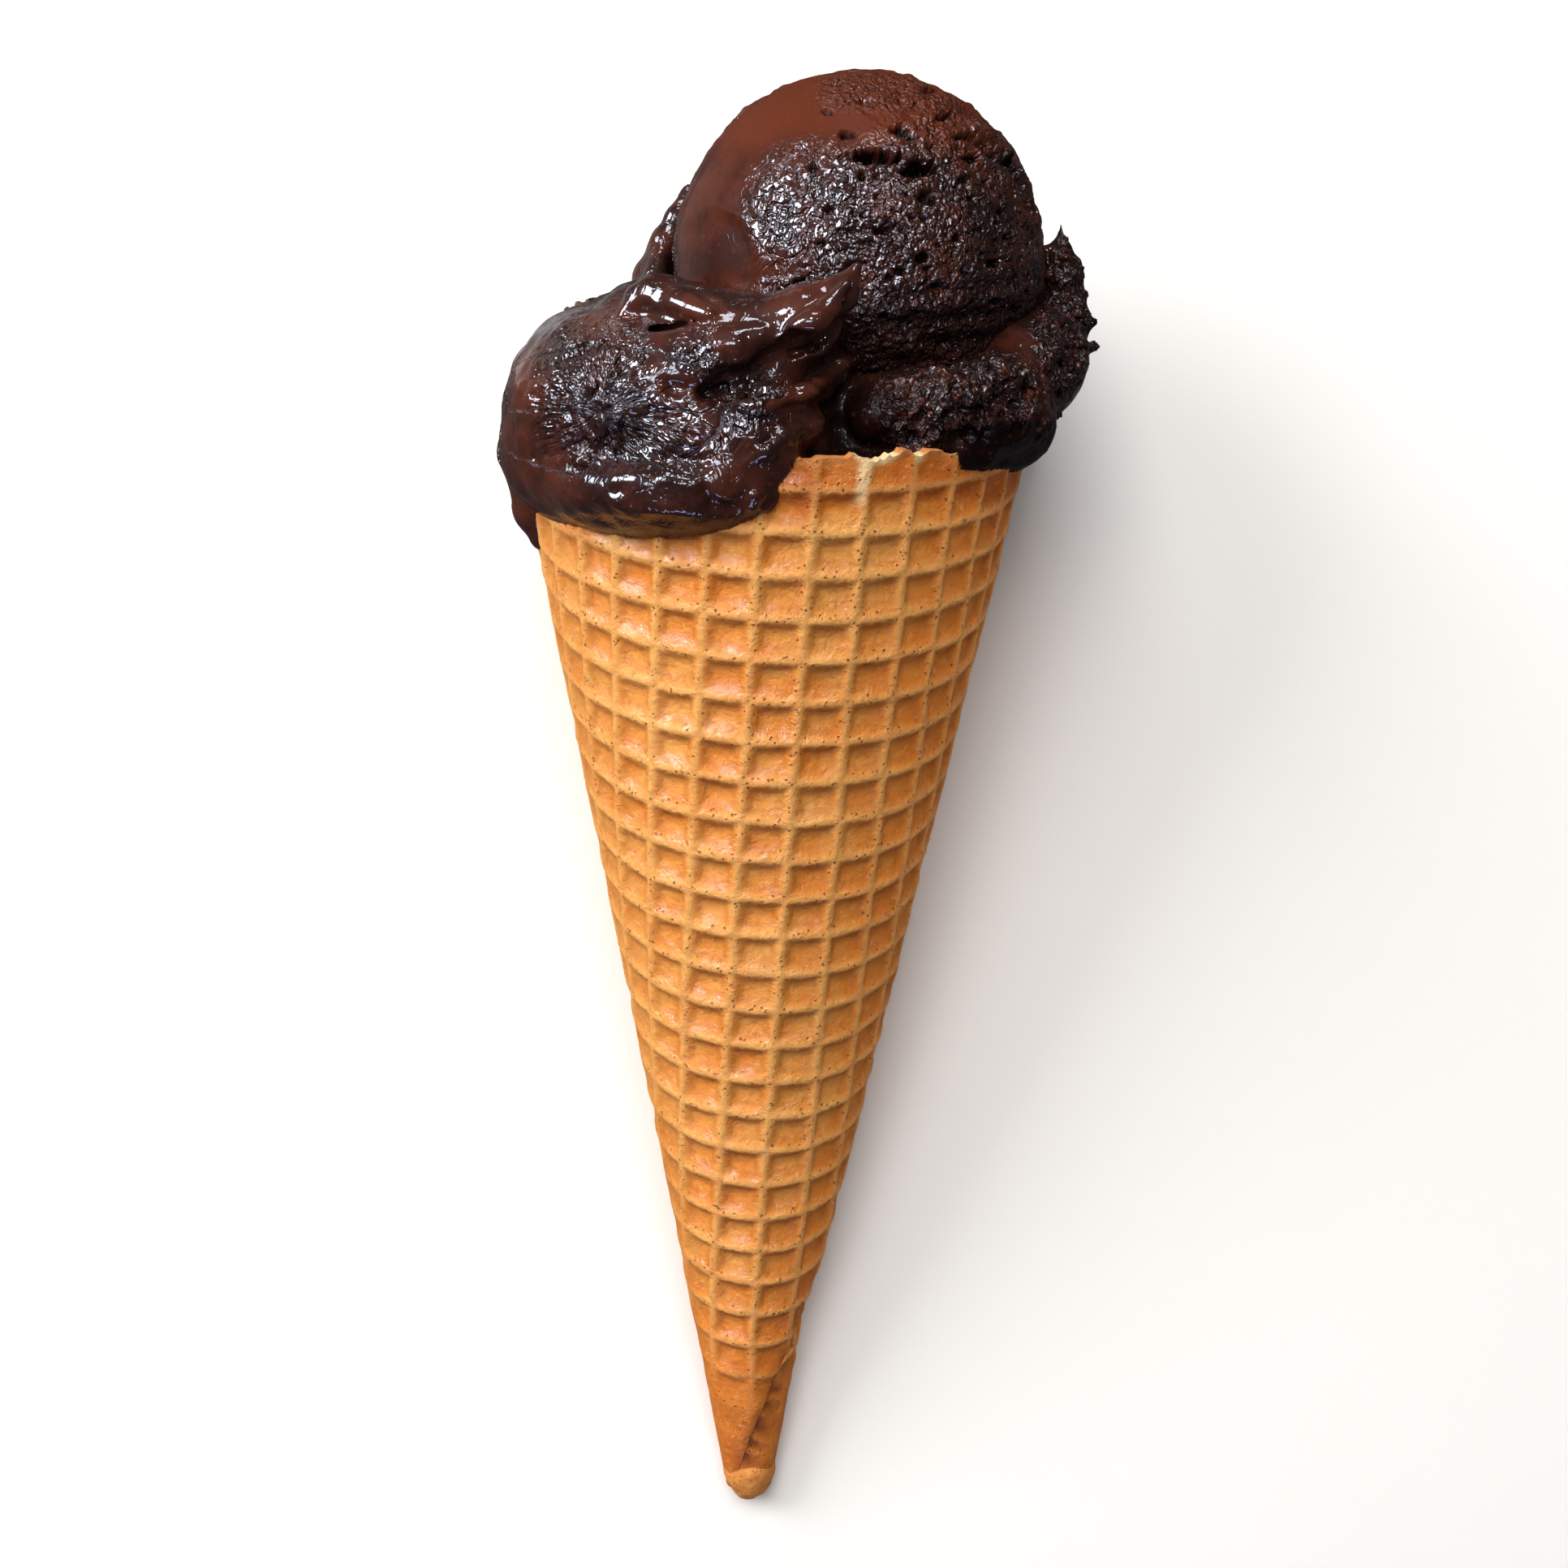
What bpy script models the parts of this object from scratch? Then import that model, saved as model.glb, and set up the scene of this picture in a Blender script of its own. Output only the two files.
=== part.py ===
"""A chocolate ice cream cone that lies on its back, tip toward -Y and scoops toward +Y.

The wafer is one flat waffle sheet, cut to a blank and rolled round a cone. It carries a lower
scoop, which fills it, and a round upper scoop. All three are drawn in the wafer's own axes, with
the point of the cone at the origin, +Y along its axis, +X to the right and +Z to the shown side.
An empty then tips them back onto the ground.
"""
import math

import bmesh
import bpy
from mathutils import Matrix, Vector, noise

MM = 0.001

# Wafer sheet
HALF_ANGLE = math.radians(11.53)
RIM_SLANT = 161.0 * MM
RIM_HIGH_SIDE = math.radians(25.0)
RIM_FALL = 0.08
SHEET_THICKNESS = 1.8 * MM
RELIEF = 0.8 * MM
RIDGE_WIDTH = 1.7 * MM
COLUMN_PITCH = 5.97 * MM
ROW_PITCH = 5.14 * MM
COLUMN_START = -1.03 * MM
ROW_START = 1.96 * MM
COLUMN_HEADING = math.radians(12.6)

# Roll
LAYER_GAP = 0.3 * MM
SPIRAL_ZERO = math.radians(-25.0)
EDGE_AT_RIM = math.radians(190.0)
EDGE_TURN = math.radians(295.0)
OVERLAP = math.radians(48.0)
OVERLAP_STARTS = 58.0 * MM
OVERLAP_FULL = 95.0 * MM
STEP_AT_TIP = 0.12
STEP_GROWS_FROM = 34.0 * MM
THINNING_STARTS = 35.0 * MM
TIP_SWELL = 1.0 * MM
TIP_BEND = 1.0 * MM
TIP_BENDS_BELOW = 45.0 * MM
SEAM_GAP = 0.35 * MM
EDGE_BOW = math.radians(3.5)
NOTCH_ANGLE = math.radians(21.0)
NOTCH_WIDTH = math.radians(2.6)
NOTCH_DEPTH = 1.5 * MM
RIM_WAVE = 0.25 * MM

# Closed tip
BLANK_START = 13.4 * MM
NOSE_CENTRE = 13.0 * MM
NOSE_RADIUS = 2.75 * MM
NOSE_ARC = math.radians(95.0)
CORE_START = 16.0 * MM
CORE_END = 37.0 * MM
CORE_SLOPE = 0.114

# Scoops
BALL_CENTRE = Vector((10.8, 178.9, -2.0)) * MM
BALL_RADIUS = 23.2 * MM
SWELL = 0.5 * MM
CRUMB_LOSS = 0.6 * MM
LUMP_HEIGHT = 0.9 * MM
PIT_DEPTH = 2.5 * MM
NEIGHBOUR_GAP = 0.3 * MM
LUMPS_ACROSS = 6.0
PITS_ACROSS = 9.0
PIT_LEVEL = 0.25
SWELLS_ACROSS = 1.6
ENVELOPE_CHORD = 0.15 * MM
ENVELOPE_RINGS = (0.35, 0.7, 1.0)
ENVELOPE_FOOT = 48.0 * MM
ENVELOPE_DISH = 146.0 * MM
FILLING_RINGS = (62.0 * MM, 78.0 * MM, 95.0 * MM, 120.0 * MM)
FILLING_START = 46.0 * MM
FILLING_END = 152.0 * MM
VOXEL = 0.8 * MM
FOLD_HEIGHT = 0.9 * MM
FOLD_LENGTH = 7.0 * MM
CREASE_LENGTH = 3.2 * MM

# Rest
TILT = math.radians(12.0)
APEX = Vector((-3.65, -104.37, 0.32)) * MM

# Mesh fineness
FINE_BELOW = 50.0 * MM
FINEST_BELOW = 30.0 * MM
BALL_FACES_KEPT = 0.3
SCOOP_FACES_KEPT = 0.046


def material(name, colour, roughness):
    """A plain finish that reads like the real surface."""
    finish = bpy.data.materials.new(name)
    finish.use_nodes = True
    shader = finish.node_tree.nodes["Principled BSDF"]
    shader.inputs["Base Color"].default_value = (*colour, 1.0)
    shader.inputs["Roughness"].default_value = roughness
    shader.inputs["Metallic"].default_value = 0.0
    return finish


def new_object(name, bm, axes=None):
    """Puts a bmesh into the scene, in the wafer's axes when they are given."""
    mesh = bpy.data.meshes.new(name)
    bm.to_mesh(mesh)
    bm.free()
    obj = bpy.data.objects.new(name, mesh)
    bpy.context.scene.collection.objects.link(obj)
    obj.parent = axes
    return obj


def as_cutter(obj):
    obj.hide_render = True
    obj.display_type = "WIRE"
    return obj


def boolean(obj, operation, other, solver="EXACT"):
    step = obj.modifiers.new(f"{operation.title()} {other.name}", "BOOLEAN")
    step.operation = operation
    step.solver = solver
    step.object = other
    return step


def settled(obj):
    """Replaces the object's mesh by what its modifiers make of it."""
    bpy.context.view_layer.update()
    graph = bpy.context.evaluated_depsgraph_get()
    mesh = bpy.data.meshes.new_from_object(obj.evaluated_get(graph))
    obj.modifiers.clear()
    obj.data = mesh
    return obj


def main_shell(obj):
    """Drops loose scraps and fills sealed hollows: only the widest closed shell stays."""
    bm = bmesh.new()
    bm.from_mesh(obj.data)
    unseen = set(bm.verts)
    shells = []
    while unseen:
        shell = {unseen.pop()}
        front = list(shell)
        while front:
            near = {edge.other_vert(vertex) for vertex in front for edge in vertex.link_edges} - shell
            shell |= near
            front = list(near)
        unseen -= shell
        shells.append(shell)
    shells.sort(key=len)
    for shell in shells[:-1]:
        bmesh.ops.delete(bm, geom=list(shell), context="VERTS")
    bm.to_mesh(obj.data)
    bm.free()
    return obj


def smoothstep(low, high, value):
    share = min(1.0, max(0.0, (value - low) / (high - low)))
    return share * share * (3.0 - 2.0 * share)


def edge_angle(slant):
    """Angle round the cone of the sheet's outer edge: at the back by the rim, in front by the tip."""
    share = min(1.0, slant / RIM_SLANT)
    return EDGE_AT_RIM - EDGE_TURN * (1.0 - share) ** 3


def inner_edge_angle(slant):
    """The other edge, under the outer one: it meets it at the tip and runs further in above."""
    overlap = OVERLAP * smoothstep(OVERLAP_STARTS, OVERLAP_FULL, slant)
    butt = SEAM_GAP / (slant * math.sin(HALF_ANGLE)) * (1.0 - smoothstep(0.0, 0.2, overlap / OVERLAP))
    return edge_angle(slant) - 2.0 * math.pi - overlap + butt


def rim_slant(angle):
    """Distance from the cone's point to the rim: high at the front right, low at the back, uneven."""
    slant = RIM_SLANT * (1.0 - RIM_FALL * 0.5 * (1.0 - math.cos(angle - RIM_HIGH_SIDE)))
    waves = RIM_WAVE * (math.sin(5.0 * angle + 0.7) + 0.8 * math.sin(11.0 * angle))
    notch = NOTCH_DEPTH * max(0.0, 1.0 - abs(angle - NOTCH_ANGLE) / NOTCH_WIDTH)
    return slant + waves - notch


def flat_point(slant, angle):
    """Where a place on the cone lies in the flat sheet, whose +Y is one column of its waffle."""
    flat = (angle - COLUMN_HEADING) * math.sin(HALF_ANGLE)
    return slant * math.sin(flat), slant * math.cos(flat)


def slant_and_angle(x, y):
    return math.hypot(x, y), math.atan2(x, y) / math.sin(HALF_ANGLE) + COLUMN_HEADING


def thinning(slant):
    """The sheet is pressed thinner where it is rolled tight."""
    return min(1.0, slant / THINNING_STARTS)


def spiral_offset(slant, angle):
    """How far out from the plain cone a layer's outer face lies."""
    turns = (angle - SPIRAL_ZERO) / (2.0 * math.pi)
    step = STEP_AT_TIP + (1.0 - STEP_AT_TIP) * smoothstep(STEP_GROWS_FROM, OVERLAP_STARTS, slant)
    return (SHEET_THICKNESS + LAYER_GAP) * turns * step + TIP_SWELL * (1.0 - thinning(slant))


def tip_bend(slant):
    """How far the tip leans to the right of the cone's axis."""
    return TIP_BEND * max(0.0, 1.0 - slant / TIP_BENDS_BELOW)


def on_cone(slant, angle, out):
    """A point at this slant distance and angle, out from the plain cone along its normal."""
    radius = slant * math.sin(HALF_ANGLE) + out * math.cos(HALF_ANGLE)
    along = slant * math.cos(HALF_ANGLE) - out * math.sin(HALF_ANGLE)
    return Vector((radius * math.sin(angle) + tip_bend(slant), along, radius * math.cos(angle)))


def waffle_lattice():
    """The flat sheet: ridges in a square lattice round recessed cells, plain where a layer hides it."""
    bm = bmesh.new()
    corners = {}

    def corner(column, row):
        if (column, row) not in corners:
            x = COLUMN_START + column * COLUMN_PITCH
            y = ROW_START + row * ROW_PITCH
            slant, angle = slant_and_angle(x, y)
            hidden = slant > OVERLAP_STARTS and angle < edge_angle(slant) - 2.0 * math.pi + EDGE_BOW
            corners[column, row] = bm.verts.new((x, y, -RELIEF if hidden else 0.0))
        return corners[column, row]

    reach = RIM_SLANT + 2.0 * COLUMN_PITCH
    for column in range(-math.ceil(reach / COLUMN_PITCH), math.ceil(reach / COLUMN_PITCH)):
        for row in range(-6, math.ceil(reach / ROW_PITCH)):
            x = COLUMN_START + (column + 0.5) * COLUMN_PITCH
            y = ROW_START + (row + 0.5) * ROW_PITCH
            slant, angle = slant_and_angle(x, y)
            margin = 1.3 * COLUMN_PITCH
            spread = margin / (max(slant, margin) * math.sin(HALF_ANGLE))
            if slant > rim_slant(angle) + margin or slant < BLANK_START - margin:
                continue
            if not inner_edge_angle(slant) - spread < angle < edge_angle(slant) + spread:
                continue
            cell = ((0, 0), (1, 0), (1, 1), (0, 1))
            bm.faces.new([corner(column + i, row + j) for i, j in cell])
    top = list(bm.faces)
    bottom = bmesh.ops.extrude_face_region(bm, geom=top, use_keep_orig=True)
    for vertex in (item for item in bottom["geom"] if isinstance(item, bmesh.types.BMVert)):
        vertex.co.z = -SHEET_THICKNESS
    bmesh.ops.recalc_face_normals(bm, faces=bm.faces)
    raised = [face for face in bm.faces if all(vertex.co.z > -0.5 * RELIEF for vertex in face.verts)]
    bmesh.ops.inset_individual(bm, faces=raised, thickness=0.5 * RIDGE_WIDTH, depth=-RELIEF)
    for limit in (FINE_BELOW, FINEST_BELOW):
        bent = []
        for edge in bm.edges:
            start, end = (vertex.co.to_2d() for vertex in edge.verts)
            middle = 0.5 * (start + end)
            across = (end - start).cross(middle.normalized())
            if middle.length < limit and abs(across) > RIDGE_WIDTH:
                bent.append(edge)
        bmesh.ops.subdivide_edges(bm, edges=bent, cuts=1)
    return bm


def blank_outline():
    """The cut edge of the sheet in the flat: the rim, then down one flap, across and up the other."""
    rim_steps = 84
    flap_steps = 16
    flap_crowding = 1.4
    last = edge_angle(RIM_SLANT)
    first = inner_edge_angle(RIM_SLANT)
    outline = []
    for step in range(rim_steps + 1):
        angle = first + (last - first) * step / rim_steps
        outline.append(flat_point(rim_slant(angle), angle))
    top_out = rim_slant(last)
    for step in range(1, flap_steps + 1):
        slant = BLANK_START + (top_out - BLANK_START) * (1.0 - step / flap_steps) ** flap_crowding
        outline.append(flat_point(slant, edge_angle(slant)))
    top_in = rim_slant(first)
    foot_out = edge_angle(BLANK_START)
    foot_in = inner_edge_angle(BLANK_START)
    for step in range(1, flap_steps):
        angle = foot_out + (foot_in - foot_out) * step / flap_steps
        outline.append(flat_point(BLANK_START, angle))
    for step in range(flap_steps):
        slant = BLANK_START + (top_in - BLANK_START) * (step / flap_steps) ** flap_crowding
        outline.append(flat_point(slant, inner_edge_angle(slant)))
    return outline


def prism(outline, low, high):
    bm = bmesh.new()
    base = bm.faces.new([bm.verts.new((x, y, low)) for x, y in outline])
    raised = bmesh.ops.extrude_face_region(bm, geom=[base], use_keep_orig=True)
    for vertex in (item for item in raised["geom"] if isinstance(item, bmesh.types.BMVert)):
        vertex.co.z = high
    bmesh.ops.recalc_face_normals(bm, faces=bm.faces)
    return bm


def turned(profile, steps):
    """A solid turned round the cone's axis from (along, radius) points that start and end on it."""
    bm = bmesh.new()
    points = [bm.verts.new((radius, along, 0.0)) for along, radius in profile]
    edges = [bm.edges.new(pair) for pair in zip(points, points[1:])]
    bmesh.ops.spin(
        bm, geom=points + edges, axis=(0.0, 1.0, 0.0), cent=(0.0, 0.0, 0.0),
        steps=steps, angle=2.0 * math.pi, use_merge=True,
    )
    bmesh.ops.remove_doubles(bm, verts=bm.verts, dist=1e-6)
    bmesh.ops.recalc_face_normals(bm, faces=bm.faces)
    return bm


def tip_core(axes):
    """The rounded nose and the pressed core that closes the rolled tip."""
    arc_steps = 6
    profile = [(NOSE_CENTRE - NOSE_RADIUS, 0.0)]
    for step in range(1, arc_steps + 1):
        turn = NOSE_ARC * step / arc_steps
        profile.append((NOSE_CENTRE - NOSE_RADIUS * math.cos(turn), NOSE_RADIUS * math.sin(turn)))
    for along in (CORE_START, CORE_END):
        profile.append((along, CORE_SLOPE * along))
    profile.append((CORE_END, 0.0))
    core = as_cutter(new_object("tip_core", turned(profile, 18), axes))
    core.location.x = tip_bend(NOSE_CENTRE)
    return core


def waffle_cone(axes):
    sheet = new_object("waffle_cone", waffle_lattice(), axes)
    blank = as_cutter(new_object("blank", prism(blank_outline(), -3.0 * SHEET_THICKNESS, SHEET_THICKNESS), axes))
    boolean(sheet, "INTERSECT", blank)
    settled(sheet)
    bpy.data.objects.remove(blank)
    for vertex in sheet.data.vertices:
        slant, angle = slant_and_angle(vertex.co.x, vertex.co.y)
        out = spiral_offset(slant, angle) + vertex.co.z * thinning(slant)
        vertex.co = on_cone(slant, angle, out)
    # The exact solver loses the sheet here, and both meshes are closed.
    boolean(sheet, "UNION", tip_core(axes), "MANIFOLD")
    main_shell(settled(sheet))
    sheet.data.materials.append(material("baked_wafer", (0.60, 0.30, 0.09), 0.62))
    return sheet


def crumbliness(direction):
    """How rough the upper scoop is on this side: 0 on the smooth left, 1 on the right and top."""
    return smoothstep(-0.35, 0.45, direction.x + 0.25 * direction.y)


def ball_surface(direction):
    """Radius of the upper scoop, with lumps and pits where it is crumbly."""
    lumps = noise.noise(direction * LUMPS_ACROSS + Vector((3.1, 0.0, 0.0)))
    pits = max(0.0, noise.noise(direction * PITS_ACROSS + Vector((0.0, 7.7, 0.0))) - PIT_LEVEL)
    rough = LUMP_HEIGHT * lumps - PIT_DEPTH * pits - CRUMB_LOSS
    return BALL_RADIUS + SWELL * noise.noise(direction * SWELLS_ACROSS) + crumbliness(direction) * rough


def seat_surface(direction):
    """Radius of the hollow that the upper scoop sits in, just clear of its lumps."""
    clear = LUMP_HEIGHT * crumbliness(direction) + NEIGHBOUR_GAP
    return BALL_RADIUS + SWELL * noise.noise(direction * SWELLS_ACROSS) + clear


def round_object(name, surface, subdivisions, axes):
    bm = bmesh.new()
    bmesh.ops.create_icosphere(bm, subdivisions=subdivisions, radius=1.0)
    for vertex in bm.verts:
        direction = vertex.co.normalized()
        vertex.co = direction * surface(direction)
    obj = new_object(name, bm, axes)
    obj.location = BALL_CENTRE
    return obj


def scoop_upper(axes):
    ball = round_object("scoop_upper", ball_surface, 5, axes)
    ball.modifiers.new("Fewer faces", "DECIMATE").ratio = BALL_FACES_KEPT
    settled(ball)
    ball.data.materials.append(material("chocolate_ice_upper", (0.050, 0.020, 0.013), 0.38))
    ball.data.shade_smooth()
    return ball


def ellipsoid(bm, centre, radii, lean=0.0):
    """A rounded mass, leant about +Z."""
    place = Matrix.Translation(Vector(centre) * MM) @ Matrix.Rotation(math.radians(lean), 4, "Z")
    place = place @ Matrix.Diagonal((*(Vector(radii) * MM), 1.0))
    bmesh.ops.create_icosphere(bm, subdivisions=4, radius=1.0, matrix=place)


def ridge(bm, points, radii):
    """A ridge, flap or drip: beads that change size along a bent line, close enough to run together."""
    for start, end, thick, thin in zip(points, points[1:], radii, radii[1:]):
        start, end = Vector(start), Vector(end)
        beads = max(2, math.ceil((end - start).length / (0.35 * min(thick, thin) + 0.2)))
        for bead in range(beads + 1):
            share = bead / beads
            radius = thick + (thin - thick) * share
            place = Matrix.Translation(start.lerp(end, share) * MM)
            bmesh.ops.create_icosphere(bm, subdivisions=2, radius=radius * MM, matrix=place)


def scoop_forms():
    """The masses of the lower scoop in millimetres: body, left lobe, right skirt, back and drips."""
    bm = bmesh.new()
    ellipsoid(bm, (0.0, 158.0, -8.0), (30.0, 15.0, 23.0))
    ellipsoid(bm, (2.0, 158.0, -14.0), (27.0, 13.0, 22.0))
    ellipsoid(bm, (-10.0, 163.5, 12.0), (20.5, 11.5, 19.0), 14.0)
    ellipsoid(bm, (-17.0, 160.0, 9.0), (15.0, 14.0, 19.5), -14.0)
    ellipsoid(bm, (-10.0, 152.6, 14.0), (17.5, 7.5, 20.0))
    ellipsoid(bm, (27.3, 165.6, -2.0), (13.2, 8.8, 16.0), 20.0)
    ellipsoid(bm, (20.0, 161.0, 9.0), (15.0, 7.0, 16.0))
    ellipsoid(bm, (28.0, 158.5, 5.0), (6.5, 4.5, 9.0))
    ellipsoid(bm, (7.0, 156.5, 9.0), (22.0, 6.5, 21.0))
    ridge(bm, [(-6.0, 151.5, 29.5), (0.5, 152.0, 31.0), (6.0, 158.0, 30.5)], [3.4, 2.4, 1.4])
    ridge(bm, [(-29.0, 156.0, 4.0), (-30.2, 149.5, 5.0), (-29.4, 145.0, 6.0)], [4.4, 3.6, 2.2])
    ridge(bm, [(-15.0, 170.0, 15.0), (-4.0, 168.5, 23.0), (4.0, 171.5, 25.0), (8.0, 175.0, 25.0), (9.8, 177.6, 24.6)],
          [6.0, 6.0, 4.0, 2.2, 0.9])
    ridge(bm, [(-20.0, 171.5, 8.0), (-13.0, 174.6, 11.0), (-7.0, 172.8, 15.0)], [2.6, 2.2, 2.4])
    ridge(bm, [(-16.5, 170.0, -6.0), (-15.4, 179.5, -8.5), (-13.0, 187.0, -10.0)], [4.8, 3.6, 1.2])
    ridge(bm, [(33.0, 166.0, -4.0), (37.0, 173.0, -5.0), (36.8, 179.0, -6.0), (36.2, 184.3, -6.0)],
          [5.0, 3.4, 2.4, 0.9])
    ridge(bm, [(13.0, 161.0, 19.0), (20.0, 161.5, 19.0), (28.0, 164.0, 13.0), (35.0, 169.0, 3.0)],
          [3.6, 4.8, 5.0, 4.6])
    ellipsoid(bm, (-13.0, 153.0, -12.0), (18.5, 8.5, 19.0), -8.0)
    ellipsoid(bm, (13.0, 154.0, -13.0), (18.0, 8.0, 19.5), 10.0)
    ridge(bm, [(-20.0, 150.0, -20.0), (-17.5, 143.5, -22.5), (-16.5, 140.0, -22.5)], [5.0, 3.6, 2.4])
    ridge(bm, [(21.0, 151.0, -20.0), (20.0, 144.0, -22.0)], [5.5, 3.4])
    return bm


def wall_envelope(axes):
    """The solid inside of the rolled wafer's outer face, a little enlarged, up to its rim."""
    around = 72
    spread = NEIGHBOUR_GAP + ENVELOPE_CHORD
    bm = bmesh.new()
    rings = []
    past_wall = -SHEET_THICKNESS - 2.0 * spread
    for share, out in (*((share, spread) for share in ENVELOPE_RINGS), (1.0, past_wall)):
        ring = []
        for step in range(around):
            angle = EDGE_AT_RIM - 2.0 * math.pi * (step + 0.5) / around
            slant = rim_slant(angle) * share + spread * (share == 1.0)
            ring.append(bm.verts.new(on_cone(slant, angle, spiral_offset(slant, angle) + out)))
        rings.append(ring)
    for lower, upper in zip(rings, rings[1:]):
        for step in range(around):
            after = (step + 1) % around
            bm.faces.new((lower[step], lower[after], upper[after], upper[step]))
    for ring, along in ((rings[0], ENVELOPE_FOOT), (rings[-1], ENVELOPE_DISH)):
        middle = bm.verts.new((0.0, along, 0.0))
        for step in range(around):
            bm.faces.new((ring[step], ring[(step + 1) % around], middle))
    bmesh.ops.recalc_face_normals(bm, faces=bm.faces)
    return as_cutter(new_object("wall_envelope", bm, axes))


def filling(axes):
    """The ice inside the wafer: one turn of the spiral that the sheet's inner face follows."""
    around = 36
    bm = bmesh.new()
    rings = []
    for slant in (FILLING_START, *FILLING_RINGS, FILLING_END):
        radius = slant * math.sin(HALF_ANGLE)
        sag = COLUMN_PITCH ** 2 / (8.0 * radius)
        inset = SHEET_THICKNESS + NEIGHBOUR_GAP + sag
        step_gap = (NEIGHBOUR_GAP + sag) / radius + EDGE_BOW
        start = inner_edge_angle(slant)
        ring = [bm.verts.new(on_cone(slant, start - step_gap, spiral_offset(slant, start) - inset))]
        for step in range(around + 1):
            angle = start + (2.0 * math.pi - step_gap) * step / around
            ring.append(bm.verts.new(on_cone(slant, angle, spiral_offset(slant, angle) - inset)))
        rings.append(ring)
    for lower, upper in zip(rings, rings[1:]):
        for step in range(len(lower)):
            after = (step + 1) % len(lower)
            bm.faces.new((lower[step], lower[after], upper[after], upper[step]))
    for ring in (rings[0], rings[-1]):
        middle = bm.verts.new(sum((vertex.co for vertex in ring), Vector()) / len(ring))
        for step in range(len(ring)):
            bm.faces.new((ring[step], ring[(step + 1) % len(ring)], middle))
    bmesh.ops.recalc_face_normals(bm, faces=bm.faces)
    return as_cutter(new_object("filling", bm, axes))


def ground():
    """A block whose top is the ground that the cone lies on."""
    bm = bmesh.new()
    size = 0.4
    bmesh.ops.create_cube(bm, size=size, matrix=Matrix.Translation((0.0, 0.0, -0.5 * size)))
    return as_cutter(new_object("ground", bm))


def scoop_lower(axes):
    scoop = new_object("scoop_lower", scoop_forms(), axes)
    skin = scoop.modifiers.new("One skin", "REMESH")
    skin.mode = "VOXEL"
    skin.voxel_size = VOXEL
    soften = scoop.modifiers.new("Soft creases", "SMOOTH")
    soften.factor = 0.5
    soften.iterations = 4
    settled(scoop)
    outward = [vertex.normal.copy() for vertex in scoop.data.vertices]
    for vertex, normal in zip(scoop.data.vertices, outward):
        folds = noise.noise(vertex.co / FOLD_LENGTH) + 0.5 * noise.noise(vertex.co / CREASE_LENGTH)
        vertex.co += normal * FOLD_HEIGHT * folds
    scoop.modifiers.new("Fewer faces", "DECIMATE").ratio = SCOOP_FACES_KEPT
    settled(scoop)
    seat = as_cutter(round_object("ball_seat", seat_surface, 4, axes))
    boolean(scoop, "DIFFERENCE", wall_envelope(axes))
    boolean(scoop, "UNION", filling(axes))
    boolean(scoop, "DIFFERENCE", seat)
    boolean(scoop, "DIFFERENCE", ground())
    main_shell(settled(scoop))
    scoop.data.materials.append(material("chocolate_ice_lower", (0.042, 0.017, 0.012), 0.28))
    return scoop


def main():
    for old in list(bpy.data.objects):
        bpy.data.objects.remove(old)
    axes = bpy.data.objects.new("cone_axes", None)
    bpy.context.scene.collection.objects.link(axes)
    axes.location = APEX
    axes.rotation_euler = (TILT, 0.0, 0.0)
    waffle_cone(axes)
    scoop_upper(axes)
    scoop_lower(axes)


main()
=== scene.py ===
"""The looks of a chocolate ice cream cone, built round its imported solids.

Three pieces stand for the three solids: the rolled waffle sheet with its closed tip, the round upper
scoop and the lower scoop that folds over the rim. They are drawn in the wafer's own axes in
millimetres, with the cone's point at the origin, +Y along its axis, +X to the right and +Z to the
shown side, and are then put where the solids lie.
"""

import contextlib
import itertools
import math

import bmesh
import bpy
import numpy as np
import openvdb
from mathutils import Matrix, Vector

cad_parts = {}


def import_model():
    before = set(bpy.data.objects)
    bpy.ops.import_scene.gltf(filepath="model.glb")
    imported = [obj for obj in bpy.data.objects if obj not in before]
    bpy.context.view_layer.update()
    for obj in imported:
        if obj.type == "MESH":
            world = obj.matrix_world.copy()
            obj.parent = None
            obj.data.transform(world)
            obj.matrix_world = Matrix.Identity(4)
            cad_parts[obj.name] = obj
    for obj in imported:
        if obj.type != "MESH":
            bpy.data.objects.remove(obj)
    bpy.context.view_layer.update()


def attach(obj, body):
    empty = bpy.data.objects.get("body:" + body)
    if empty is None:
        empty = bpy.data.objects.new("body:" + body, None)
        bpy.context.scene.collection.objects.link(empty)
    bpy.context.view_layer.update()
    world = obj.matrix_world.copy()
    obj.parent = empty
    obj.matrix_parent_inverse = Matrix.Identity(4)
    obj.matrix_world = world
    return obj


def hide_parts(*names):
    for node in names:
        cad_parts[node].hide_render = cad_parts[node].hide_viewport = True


MM = 0.001
FULL_TURN = 2.0 * math.pi

# Where the cone lies
TILT = math.radians(12.0)
APEX = Vector((-3.65, -104.37, 0.32)) * MM

# The photograph's camera, in pixels of its 1932 pixel frame
FRAME_SIDE = 1932.0
FRAME_MIDDLE = 966.0
MM_PER_PIXEL = 0.1149
CAMERA_DISTANCE = 2577.0
APEX_PIXEL = (914.6, 1927.3)
CAMERA_PITCH = math.radians(11.73)
CAMERA_ROLL = math.radians(1.44)
SENSOR_WIDTH = 36.0

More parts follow.
